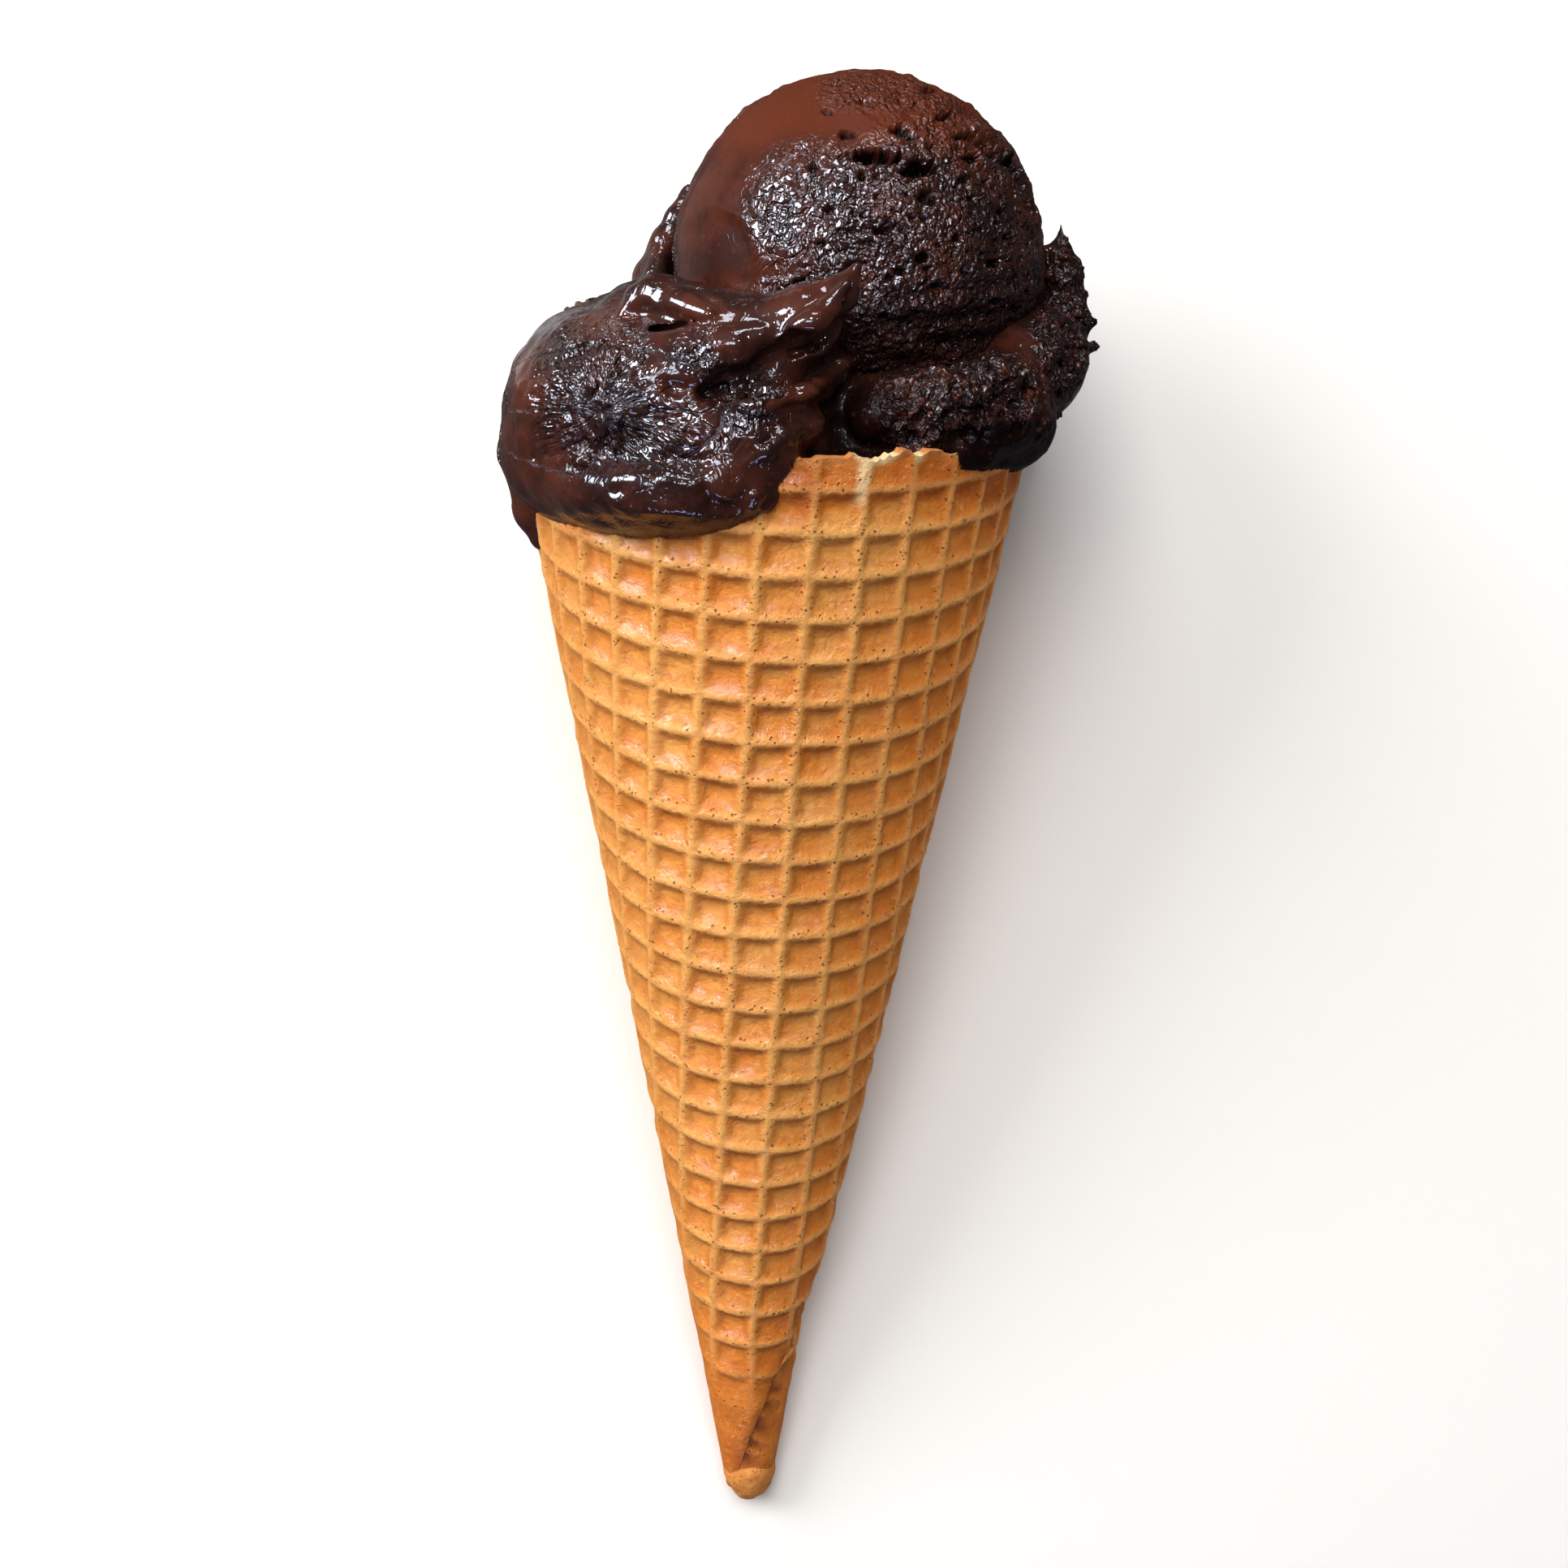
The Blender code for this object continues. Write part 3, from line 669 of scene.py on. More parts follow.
def ellipsoid(space, centre, radii, lean):
    offset = space - np.array(centre, np.float32)
    cos_l, sin_l = math.cos(math.radians(lean)), math.sin(math.radians(lean))
    x = offset[..., 0] * cos_l + offset[..., 1] * sin_l
    y = offset[..., 1] * cos_l - offset[..., 0] * sin_l
    z = offset[..., 2]
    a, b, c = radii
    size = np.sqrt((x / a) ** 2 + (y / b) ** 2 + (z / c) ** 2)
    slope = np.sqrt((x / a ** 2) ** 2 + (y / b ** 2) ** 2 + (z / c ** 2) ** 2) + 1e-6
    return size * (size - 1.0) / slope


def strand(space, start, end, thick, thin):
    """A rounded stroke whose thickness changes evenly from one end to the other."""
    start, end = np.array(start, np.float32), np.array(end, np.float32)
    along = end - start
    offset = space - start
    share = np.clip(offset @ along / (along @ along), 0.0, 1.0)
    nearest = length(offset - share[..., None] * along)
    return nearest - (thick + (thin - thick) * share)


class Field:
    """A distance field on a grid, worked like soft ice with masses, strokes and dabs."""

    def __init__(self):
        self.space = grid_points()
        self.value = np.full(self.space.shape[:3], FAR_OUT, np.float32)

    def window(self, points, reach):
        points = np.asarray(points, float)
        low = np.maximum(0, ((points.min(0) - reach - GRID_LOW) / GRID_STEP).astype(int))
        high = ((points.max(0) + reach - GRID_LOW) / GRID_STEP).astype(int) + 2
        return tuple(slice(int(a), max(int(a) + 1, int(b))) for a, b in zip(low, high))

    def mass(self, centre, radii, lean, blend=2.5, cut=False):
        join = soft_cut if cut else soft_union
        self.value = join(self.value, ellipsoid(self.space, centre, radii, lean), blend)

    def stroke(self, points, radii, blend=1.2, cut=False):
        join = soft_cut if cut else soft_union
        for start, end, thick, thin in zip(points, points[1:], radii, radii[1:]):
            near = self.window((start, end), max(thick, thin) + 2.0 * blend + 1.0)
            drawn = strand(self.space[near], start, end, thick, thin)
            self.value[near] = join(self.value[near], drawn, blend)

    def dab(self, centre, radius, blend, cut):
        """A small round crumb, or a small round hole."""
        join = soft_cut if cut else soft_union
        near = self.window((centre,), radius + 2.0 * blend + 1.0)
        drawn = length(self.space[near] - np.asarray(centre, np.float32)) - radius
        self.value[near] = join(self.value[near], drawn, blend)

    def at(self, points):
        """The field between grid points."""
        spot = (np.asarray(points, float) - GRID_LOW) / GRID_STEP
        spot = np.clip(spot, 0.0, np.array(self.value.shape) - 1.001)
        base = spot.astype(int)
        part = spot - base
        total = 0.0
        for corner in itertools.product((0, 1), repeat=3):
            weight = np.prod(np.where(corner, part, 1.0 - part), axis=-1)
            index = base + np.array(corner)
            total = total + weight * self.value[index[..., 0], index[..., 1], index[..., 2]]
        return total

    def seen(self, x, y):
        """The places on the surface that the camera sees through these pixels, and the way out there."""
        lines = np.stack([sight_line(a, b) for a, b in zip(x, y)])
        depth = (GRID_HIGH[2] - 1.0 - CAMERA_PLACE[2]) / lines[:, 2]
        for _ in range(SIGHT_STEPS):
            places = CAMERA_PLACE + depth[:, None] * lines
            gap = self.at(places)
            depth += np.where(gap < 0.02, 0.0, np.maximum(0.04, 0.5 * gap))
        steps = np.eye(3) * GRID_STEP
        slope = np.stack([self.at(places + step) - self.at(places - step) for step in steps], axis=1)
        return places, slope / (np.linalg.norm(slope, axis=1, keepdims=True) + 1e-9)

    def draw(self, pixels, width, height):
        """A ridge that stands this high out of the surface along a line of pixels, or a groove this deep."""
        x, y = zip(*pixels)
        places, outward = self.seen(x, y)
        cut = height < 0.0
        centres = places + outward * ((width - abs(height)) if cut else (height - width))
        count = len(pixels)
        ends = [abs(2.0 * k / (count - 1) - 1.0) for k in range(count)]
        radii = [width * (1.0 - (1.0 - DRAWN_TAPER) * end ** 2) for end in ends]
        self.stroke(list(centres), radii, DRAWN_BLEND, cut)

    def spots(self, pixels, radii, height, blend):
        """Round crumbs that stand this far out of the surface at these pixels, or holes this deep."""
        x, y = zip(*pixels)
        places, outward = self.seen(x, y)
        for place, away, radius in zip(places, outward, radii):
            cut = height < 0.0
            push = (radius + height) if cut else (height * radius - radius)
            self.dab(place + away * push, radius, blend, cut)

    def polygons(self):
        grid = openvdb.FloatGrid(FAR_OUT)
        grid.copyFromArray(np.ascontiguousarray(self.value, np.float32))
        points, triangles, quads = grid.convertToPolygons(0.0, 0.0)
        faces = [tuple(face) for face in triangles.tolist() + quads.tolist()]
        return points * GRID_STEP + GRID_LOW, faces


def scoop_masses():
    """The lower scoop's body, left lobe, right skirt, back lobes, drips and pulled peaks."""
    field = Field()
    for centre, radii, lean in (
        ((0, 158, -8), (30, 15, 23), 0),
        ((2, 158, -14), (27, 13, 22), 0),
        ((-10, 163.5, 12), (20.5, 11.5, 19), 14),
        ((-17, 160, 9), (15, 14, 19.5), -14),
        ((-10, 152.6, 14), (17.5, 7.5, 20), 0),
        ((-21.3, 155.3, 9.5), (11, 8.4, 14), 0),
        ((27.3, 165.6, -2), (13.2, 8.8, 16), 20),
        ((20, 161, 9), (15, 7, 16), 0),
        ((28, 158.5, 5), (6.5, 4.5, 9), 0),
        ((7, 156.5, 9), (22, 6.5, 19), 0),
        ((-3, 155.8, 26.5), (9.5, 5.6, 7.6), 38),
        ((-13, 153, -12), (18.5, 8.5, 19), -8),
        ((13, 154, -13), (18, 8, 19.5), 10),
    ):
        field.mass(centre, radii, lean)
    field.mass((10.5, 160.5, 29), (8, 7, 10), -20, 1.5, True)
    for points, radii in (
        (((-26, 160, 7), (-27.2, 153, 6.5), (-27.9, 148.7, 6.5), (-27.6, 145, 7)), (6.2, 5.2, 3.6, 1.7)),
        (((-15, 170, 15), (-4, 168.5, 23), (4, 171.5, 25), (8, 175, 25), (9.8, 177.6, 24.6)),
         (6, 6, 4, 2.2, 0.9)),
        (((-20, 171.5, 8), (-13, 174.6, 11), (-7, 172.8, 15)), (2.6, 2.2, 2.4)),
        (((-16, 168, -2.5), (-15.4, 174.5, -3.5), (-14.3, 179.5, -4.6)), (3.8, 2.1, 1)),
        (((-15.8, 168, -7), (-15.2, 176.5, -6.6), (-13.9, 181.3, -6.8), (-12.4, 184.8, -7.6),
          (-10.9, 188.2, -8.4)),
         (4.2, 2.4, 1.8, 1.1, 0.4)),
        (((-15.2, 168, -12), (-14.2, 176, -11.5), (-12.2, 182, -12)), (4.4, 2.8, 1.3)),
        (((33, 166, -4), (37, 173, -5), (36.9, 178.5, -6), (36.4, 181.5, -6)), (5, 3.4, 2.4, 1.3)),
        (((36.6, 180.5, -6), (36.3, 184.9, -6)), (1.2, 0.35)),
        (((35.6, 180.5, -6), (33, 182, -6)), (1.5, 0.7)),
        (((13, 161, 19), (20, 161.5, 19), (28, 164, 13), (35, 169, 3)), (3.6, 4.8, 5, 4.6)),
        (((-7, 151.8, 29.5), (-1.6, 153, 30.5), (2, 156.8, 30.5)), (3.2, 2.2, 1.6)),
        (((-8, 158, 28), (-1, 158.8, 29), (3.4, 160.6, 28)), (5, 4.6, 3.4)),
        (((-20, 150, -20), (-17.5, 143.5, -22.5), (-16.5, 140, -22.5)), (5, 3.6, 2.4)),
        (((21, 151, -20), (20, 144, -22)), (5.5, 3.4)),
    ):
        field.stroke(points, radii)
    return field


# Folds of the lower scoop where the photograph's pixels show them, with half width and height in millimetres
LOBE_FOLDS = (
    (((770, 386), (788, 372), (806, 366), (836, 376), (872, 387)), 2.4, 2.3),
    (((774, 397), (808, 405), (838, 402), (880, 392)), 1.4, -2.9),
    (((884, 462), (915, 456), (945, 446), (965, 429), (985, 409), (1002, 397), (1022, 378), (1042, 352)),
     1.5, 1.9),
    (((868, 484), (898, 474), (932, 466), (962, 450), (988, 430), (1012, 420), (1036, 402)), 2.2, -2.5),
    (((902, 498), (930, 506), (962, 496), (990, 492), (1012, 474), (1032, 454), (1048, 438)), 1.5, 1.9),
    (((880, 440), (905, 420), (935, 414), (962, 420)), 1.6, 0.9),
    (((864, 450), (880, 462), (910, 440)), 1.1, -0.8),
    (((940, 524), (972, 514), (1004, 502), (1032, 476), (1050, 452)), 1.5, -0.8),
    (((918, 573), (945, 556), (967, 540), (990, 528)), 0.9, 0.5),
    (((760, 430), (800, 420), (850, 412), (905, 410), (950, 415)), 2.6, 0.35),
    (((700, 440), (720, 428), (748, 420)), 1.0, -0.8),
    (((690, 445), (706, 424), (730, 412)), 0.8, 0.4),
    (((720, 548), (760, 560), (820, 564), (870, 566)), 0.9, -0.7),
    (((700, 588), (760, 592), (820, 588), (860, 596), (900, 612)), 0.9, 0.45),
    (((700, 612), (760, 618), (820, 626), (868, 632)), 0.9, 0.5),
    (((866, 598), (878, 622), (902, 628), (918, 610)), 0.8, -0.8),
    (((652, 420), (642, 480), (640, 540), (650, 600)), 1.2, 0.3),
    (((668, 440), (660, 500), (662, 560), (670, 610)), 0.9, -0.35),
    (((800, 505), (818, 520), (846, 512), (850, 540)), 0.9, -0.6),
    (((815, 470), (830, 482), (856, 478)), 0.9, -0.7),
)
SMOOTH_LINES = (
    (((884, 462), (945, 446), (985, 409), (1022, 378), (1046, 345)), 15.0),
    (((950, 500), (990, 492), (1012, 474), (1032, 454), (1048, 438)), 13.0),
    (((905, 420), (985, 385), (1030, 355), (1056, 330)), 42.0),
    (((770, 386), (788, 372), (806, 366), (836, 376), (872, 387)), 13.0),
)
LOBE_HOLES = (
    (((728, 488), (737, 474)), 0.7, -1.3), (((742, 508), (752, 500)), 0.6, -1),
    (((704, 578), (720, 576)), 1, -1.5), (((728, 566), (738, 570)), 0.7, -1),
    (((868, 486), (895, 474)), 1, -1.7), (((882, 497), (898, 493)), 0.6, -1.1),
    (((978, 436), (1004, 426)), 1.3, -1.8), (((842, 548), (848, 540)), 0.5, -0.8),
    (((940, 545), (950, 540)), 0.5, -0.8), (((760, 450), (764, 440)), 0.5, -0.8),
    (((736, 432), (742, 424)), 0.6, -0.9), (((924, 486), (940, 480)), 0.6, -0.8),
)
SKIRT_HOLES = (
    (1230, 494, 1.7), (1240, 488, 1.3), (1120, 540, 1.3), (1290, 515, 1), (1284, 526, 0.8), (1170, 512, 1),
    (1205, 506, 1), (1255, 505, 1.2), (1322, 408, 1.5), (1330, 432, 1.2), (1310, 455, 1), (1195, 535, 0.8),
    (1150, 488, 0.9), (1140, 505, 0.9), (1268, 480, 0.9), (1310, 480, 0.9),
)
SKIRT_FOLDS = (
    (((1118, 486), (1150, 478), (1180, 470), (1212, 466), (1245, 464)), 1.6, 0.5),
    (((1112, 500), (1122, 520), (1140, 535)), 1.3, 0.4),
    (((1160, 505), (1200, 508), (1240, 502), (1275, 490)), 1.6, -1.2),
    (((1150, 548), (1185, 556), (1218, 566), (1240, 574)), 1.3, 0.6),
    (((1245, 545), (1256, 530), (1262, 515)), 1.3, -0.7),
    (((1276, 560), (1300, 540), (1322, 505)), 0.8, 0.4),
)

# Zones of the lower scoop, each an ellipse's middle and then its half sizes, in pixels
LOWER_FOIL = ((815, 530, 90, 45), (880, 435, 45, 32), (915, 495, 60, 36), (765, 440, 34, 50))
LOWER_GRAIN = ((715, 490, 58, 85), (1190, 480, 110, 48), (1320, 400, 45, 110), (1130, 520, 45, 40))
LOWER_SATIN = ((645, 540, 32, 110), (840, 405, 120, 24), (1000, 390, 50, 34), (820, 378, 60, 20))
LEFT_GRAIN = (715, 490, 70, 95)
# The lobe's lit left side, painted lighter.
LEFT_SIDE = (655, 540, 60, 150)
FAN_ZONE = (742, 506, 150, 80)

# Where the skirt, the shade under it and the shaded gap beside it begin and where they are full, in pixels
SKIRT_LEFT = (1090, 1120)
SHADE_LEFT = (1120, 1160)
SHADE_TOP = (495, 525)
GAP_LEFT = (1005, 1030)
GAP_RIGHT = (1130, 1090)
GAP_TOP = (455, 490)

# Crumbs along the skirt's ridge, which rises to the right from its start
RIDGE_CRUMBS = 90
RIDGE_ENDS = (1110, 1275)
RIDGE_START = (1120, 482)
RIDGE_RISE = 0.16

# Other crumbs and pores: how many, their box's left, right, top and bottom, and their radii in millimetres
CRUMB_BOXES = (
    (30, 1105, 1160, 495, 540, 0.3, 0.6),
    (16, 925, 955, 610, 634, 0.3, 0.6),
    (36, 1300, 1336, 310, 470, 0.4, 0.8),
)
PORE_BOX = (60, 1110, 1330, 455, 545, 0.3, 0.7)
LOBE_PORES = 30
LOBE_PORES_MIDDLE = (715, 500)
LOBE_PORES_SPREAD = (30, 48)


def scatter(draws, count, left, right, top, bottom, small, large):
    """Pixels spread over a box of the photograph's frame, each with a radius in millimetres."""
    return [
        (draws.uniform(left, right), draws.uniform(top, bottom), draws.uniform(small, large))
        for _ in range(count)
    ]


def place_spots(field, spots, height, blend=0.4):
    field.spots([spot[:2] for spot in spots], [spot[2] for spot in spots], height, blend)


def work_surface(field):
    """Presses the seen folds, crumbs and holes into the lower scoop, and pulls its ragged edges."""
    draws = np.random.default_rng(17)
    for pixels, width, height in LOBE_FOLDS + SKIRT_FOLDS + LOBE_HOLES:
        field.draw(pixels, width, height)
    place_spots(field, SKIRT_HOLES, -1.3)
    start_x, start_y = RIDGE_START
    crumbs = [
        (x, start_y - RIDGE_RISE * (x - start_x) + draws.normal(0.0, 13.0), draws.uniform(0.3, 0.75))
        for x in draws.uniform(*RIDGE_ENDS, RIDGE_CRUMBS)
    ]
    for box in CRUMB_BOXES:
        crumbs += scatter(draws, *box)
    place_spots(field, crumbs, 0.8, 0.7)
    pores = scatter(draws, *PORE_BOX)
    pores += [
        (*draws.normal(LOBE_PORES_MIDDLE, LOBE_PORES_SPREAD), draws.uniform(0.2, 0.4))
        for _ in range(LOBE_PORES)
    ]
    place_spots(field, pores, -0.5, 0.5)
    for tip, root, thick in (
        ((40.9, 172.9, -4.0), (37.5, 171.6, -4.0), 1.2),
        ((41.2, 169.8, -3.5), (38.0, 169.0, -3.5), 1.2),
        ((39.8, 176.2, -5.0), (37.0, 175.0, -5.0), 1.3),
        ((38.6, 180.2, -6.0), (36.8, 179.6, -6.0), 1.2),
    ):
        field.stroke((root, tip), (thick, 0.5), 0.6)


def cut_wall(field):
    """Cuts the wafer's wall out of the ice, and empties the cone below the mouth."""
    x, y, z = (field.space[..., axis] for axis in range(3))
    radius = np.hypot(x, z)
    angle = np.arctan2(x, z)
    slant = np.hypot(radius, y)
    out = (radius - slant * CONE_SINE) / CONE_COSINE - spiral_offset(slant, angle)
    middle = -0.5 * SHEET_THICKNESS
    within = out - middle
    wall = np.maximum(np.abs(within) - WALL_CUT, slant - rim_slant(angle))
    filling = np.maximum(within, np.abs(y - FILLING_TOP) - FILLING_HALF_DEPTH)
    field.value = soft_union(field.value, filling, 1.5)
    field.value = np.maximum(field.value, -np.maximum(within, y - FILLING_BOTTOM))
    field.value = np.maximum(field.value, -wall)


def ellipse_reach(x, y, ellipse):
    """How far pixels lie from the middle of an ellipse, with 1 on its outline."""
    middle_x, middle_y, half_width, half_height = ellipse
    return np.hypot((x - middle_x) / half_width, (y - middle_y) / half_height)


def spread_zone(x, y, ellipse, edge=0.35):
    """1 inside an ellipse of the photograph's frame, fading to 0 at its edge."""
    return 1.0 - ramp(1.0 - edge, 1.0 + edge, ellipse_reach(x, y, ellipse))


def zones(x, y, ellipses):
    """The strongest of several zones."""
    return np.maximum.reduce([spread_zone(x, y, ellipse) for ellipse in ellipses])


def line_distance(places, marks):
    """Distance from each place to a line through these marks."""
    nearest = np.full(len(places), np.inf)
    for start, end in zip(marks, marks[1:]):
        along = end - start
        share = np.clip((places - start) @ along / (along @ along), 0.0, 1.0)
        nearest = np.minimum(nearest, length(places - start - share[:, None] * along))
    return nearest


def line_zone(x, y, pixels, width):
    """1 close to a line of pixels, fading to 0 this far from it."""
    nearest = line_distance(np.stack((x, y), axis=1), np.array(pixels, float))
    return 1.0 - ramp(0.4, 1.0, nearest / width)


def facing(points, outward):
    """How squarely the surface faces the camera, 0 where it faces away."""
    sight = CAMERA_PLACE - points
    sight /= np.linalg.norm(sight, axis=1, keepdims=True)
    return np.clip(np.einsum("ij,ij->i", sight, outward), 0.0, 1.0)


def creases(points, size, seed):
    """Sharp valleys between small plates, like crumpled foil."""
    warp = np.stack([noise(points, 1.9 * size, seed + axis) for axis in range(3)], axis=1)
    first, second = cell_noise(points + 0.4 * size * warp, size, seed)
    return 1.0 - ramp(0.0, 0.3, second - first)


def worms(points, size, seed):
    """Thin winding grooves, 1 in the groove, like wrinkled foil."""
    warp = np.stack([noise(points, 1.4 * size, seed + 7 + axis) for axis in range(3)], axis=1)
    return 1.0 - ramp(0.0, 0.22, np.abs(noise(points + 0.5 * size * warp, size, seed)))


def lower_zones(points, outward):
    """Shares of foil wrinkles, grains and smooth satin over the lower scoop."""
    x, y = pixel_of(points)
    front = ramp(0.02, 0.2, facing(points, outward))
    patches = noise(points, 9.0, 71)
    foil = zones(x, y, LOWER_FOIL)
    grain = zones(x, y, LOWER_GRAIN)
    ridge = np.maximum.reduce([line_zone(x, y, pixels, width) for pixels, width in SMOOTH_LINES])
    foil = foil * (1.0 - ridge)
    satin = np.maximum(ridge, zones(x, y, LOWER_SATIN))
    back = 1.0 - front
    foil = front * foil + back * ramp(0.25, 0.6, patches)
    grain = front * grain + back * ramp(0.2, 0.55, -patches)
    return foil, grain, satin * front * (1.0 - grain)


def pixel_of(points):
    """Where the camera shows these places, in the photograph's pixels."""
    seen = (points - CAMERA_PLACE) @ CAMERA_AXES
    return (
        FRAME_MIDDLE - CAMERA_DISTANCE * seen[:, 0] / seen[:, 2],
        FRAME_MIDDLE + CAMERA_DISTANCE * seen[:, 1] / seen[:, 2],
    )


def thin_out(obj, weights, target):
    """Collapses faces, first where the weights are high, until about this many triangles are left."""
    triangles = sum(len(face.vertices) - 2 for face in obj.data.polygons)
    group = obj.vertex_groups.new(name="plain")
    levels = np.round(weights * 4.0).astype(int)
    for level in range(1, 5):
        group.add(np.nonzero(levels == level)[0].tolist(), level / 4.0, "REPLACE")
    step = obj.modifiers.new("Thin", "DECIMATE")
    step.ratio = min(1.0, target / triangles)
    step.vertex_group = "plain"
    step.vertex_group_factor = 1.0
    apply_modifiers(obj)
    obj.vertex_groups.clear()


def fan_weave(points, outward):
    """Places stretched along the wrinkles, which fan out from a dimple on the lobe, and the fan's border."""
    x, y = pixel_of(points)
    middle_x, middle_y = FAN_ZONE[:2]
    reach = np.hypot(x - middle_x, y - middle_y)
    turn = np.arctan2(y - middle_y, x - middle_x)
    fan = np.stack((7.5 * turn, 0.035 * reach, 0.0 * reach), axis=1)
    near = spread_zone(x, y, FAN_ZONE, 0.25)
    inside = (near > 0.5) & (facing(points, outward) > 0.1)
    plain = points * np.array((1.0, 0.6, 1.0))
    return np.where(inside[:, None], fan + 60.0, plain), np.exp(-((near - 0.5) / 0.1) ** 2)


def main_body(points, faces):
    """The largest connected surface, without loose specks and closed pockets."""
    pairs = np.array([pair for face in faces for pair in zip(face, face[1:])])
    labels = np.arange(len(points))
    while True:
        lower = np.minimum(labels[pairs[:, 0]], labels[pairs[:, 1]])
        joined = labels.copy()
        np.minimum.at(joined, pairs[:, 0], lower)
        np.minimum.at(joined, pairs[:, 1], lower)
        joined = joined[joined]
        if np.array_equal(joined, labels):
            break
        labels = joined
    kept = labels == np.bincount(labels).argmax()
    index = np.cumsum(kept) - 1
    return points[kept], [tuple(int(index[k]) for k in face) for face in faces if kept[face[0]]]


def scoop_lower():
    field = scoop_masses()
    work_surface(field)
    cut_wall(field)
    points, faces = main_body(*field.polygons())
    obj = mesh_object("ice_lower", points, faces)
    outward = vertex_normals(obj)
    foil, grain, satin = lower_zones(points, outward)
    x, y = pixel_of(points)
    left_grain = spread_zone(x, y, LEFT_GRAIN) * (facing(points, outward) > 0.05)
    gritty = grain * (1.0 - 0.75 * left_grain)
    foil = np.maximum(foil, 0.6 * grain * left_grain)
    radius = np.hypot(points[:, 0], points[:, 2])
    slant = np.hypot(radius, points[:, 1])
    angle = np.arctan2(points[:, 0], points[:, 2])
    in_cone = (radius * CONE_COSINE < points[:, 1] * CONE_SINE) & (slant < rim_slant(angle) - 1.5)
    in_ball = length(points - BALL_CENTRE) < BALL_RADIUS - 2.0
    hidden = (in_cone | in_ball).astype(float)
    near_wall = ramp(2.5, 0.5, np.abs(radius - slant * CONE_SINE)) * (slant < RIM_SLANT - 2.0)
    rough = 1.0 - 0.25 * satin
    weave, border = fan_weave(points, outward)
    foil = foil * (1.0 - 0.9 * border)
    push = 0.4 * noise(points, 7.0, 41) + rough * 0.26 * noise(points, 3.0, 42)
    push += (0.2 + foil + 0.35 * satin) * 0.24 * noise(points, 1.8, 43) - foil * 0.2 * worms(weave, 2.1, 44)
    push += gritty * (0.26 * noise(points, 1.3, 48) - 0.22 * creases(points, 1.5, 49))
    large = ramp(0.5, 0.1, cell_noise(points, 1.2, 83)[0]) * ramp(-0.3, 0.2, noise(points, 3.0, 84))
    small = ramp(0.5, 0.15, cell_noise(points, 0.85, 85)[0]) * ramp(-0.2, 0.3, noise(points, 2.0, 86))
    push += gritty * (0.75 * large + 0.4 * small)
    cavities = noise(points * np.array((0.9, 1.4, 1.0)), 2.0, 81) + 0.4 * noise(points, 1.0, 82)
    push -= (0.7 * gritty + 0.12 * foil) * 0.9 * ramp(0.4, 0.75, cavities)
    push *= (1.0 - hidden) * (1.0 - 0.7 * near_wall)
    # Painted shade under the skirt and in the gap beside it, laid into the hollow share.
    under = ramp(*SHADE_LEFT, x) * ramp(*SHADE_TOP, y)
    under = np.maximum(under, ramp(*GAP_LEFT, x) * ramp(*GAP_RIGHT, x) * ramp(*GAP_TOP, y))
    wet = (0.6 + 0.4 * foil + 0.3 * grain - 0.4 * grain * left_grain) * (1.0 - 0.6 * under)
    crumbly = grain * ramp(*SKIRT_LEFT, x)
    crumbs = np.maximum(large, small)
    wet *= 1.0 - crumbly * (0.4 - 0.6 * crumbs)
    left = spread_zone(x, y, LEFT_SIDE)
    # Painted light and shade: lighter on the lit left side and on the crumbs' tops, darker between the
    # crumbs; satin is redder and foil darker.
    warm = 0.12 + 0.22 * satin - 0.1 * foil + 0.12 * left + crumbly * (1.1 * crumbs - 0.3)
    moved = points + outward * push[:, None]
    move_vertices(obj, moved)
    store(
        obj, place=points, weave=weave, foil=foil, grain=gritty + 0.2 * (grain - gritty), satin=satin,
        wet=np.clip(wet, 0.0, 1.0), warm=np.clip(warm, -0.5, 1.5),
        hollow=np.maximum(hollows(obj, moved, 1.5), 0.5 + 0.35 * under),
    )
    move_vertices(obj, to_ground(moved))
    plain = np.maximum(hidden, 0.5 * (1.0 - ramp(-0.4, 0.1, outward[:, 2] + 0.3)))
    thin_out(obj, plain, LOWER_TRIANGLES)
    return obj


def hollows(obj, points, reach):
    """How far each vertex lies under the mean of its neighbours, smoothed over a few steps."""
    edges = np.array([edge.vertices[:] for edge in obj.data.edges])
    count = np.maximum(1, np.bincount(edges.ravel(), minlength=len(points)))[:, None]
    soft = points.copy()
    for _ in range(SMOOTHING_ROUNDS):
        total = np.zeros_like(soft)
        for axis in range(3):
            total[:, axis] = np.bincount(edges[:, 0], soft[edges[:, 1], axis], len(points))
            total[:, axis] += np.bincount(edges[:, 1], soft[edges[:, 0], axis], len(points))
        soft = 0.5 * soft + 0.5 * total / count
    depth = np.einsum("ij,ij->i", soft - points, vertex_normals(obj))
    return np.clip(0.5 + depth / reach, 0.0, 1.0)


# Upper scoop

def cube_sphere(side):
    """Directions spread over a sphere by six square nets, and their quads."""
    steps = np.tan((np.arange(side + 1) / side - 0.5) * math.pi / 2.0)
    u, v = np.meshgrid(steps, steps, indexing="ij")
    one = np.ones_like(u)
    nets = []
    for a, b, c in ((u, v, one), (v, u, -one), (one, u, v), (-one, v, u), (v, one, u), (u, -one, v)):
        nets.append(np.stack((a, b, c), axis=-1).reshape(-1, 3))
    points = np.concatenate(nets)
    points /= np.linalg.norm(points, axis=1, keepdims=True)
    key = np.round(points * 1e5).astype(np.int64)
    _, first, index = np.unique(key, axis=0, return_index=True, return_inverse=True)
    index = index.reshape(-1)
    faces = []
    for net in range(6):
        for i in range(side):
            start = net * (side + 1) ** 2 + i * (side + 1)
            for j in range(side):
                corner = start + j
                across = corner + side + 1
                faces.append(tuple(int(index[k]) for k in (corner, across, across + 1, corner + 1)))
    return points[first], faces


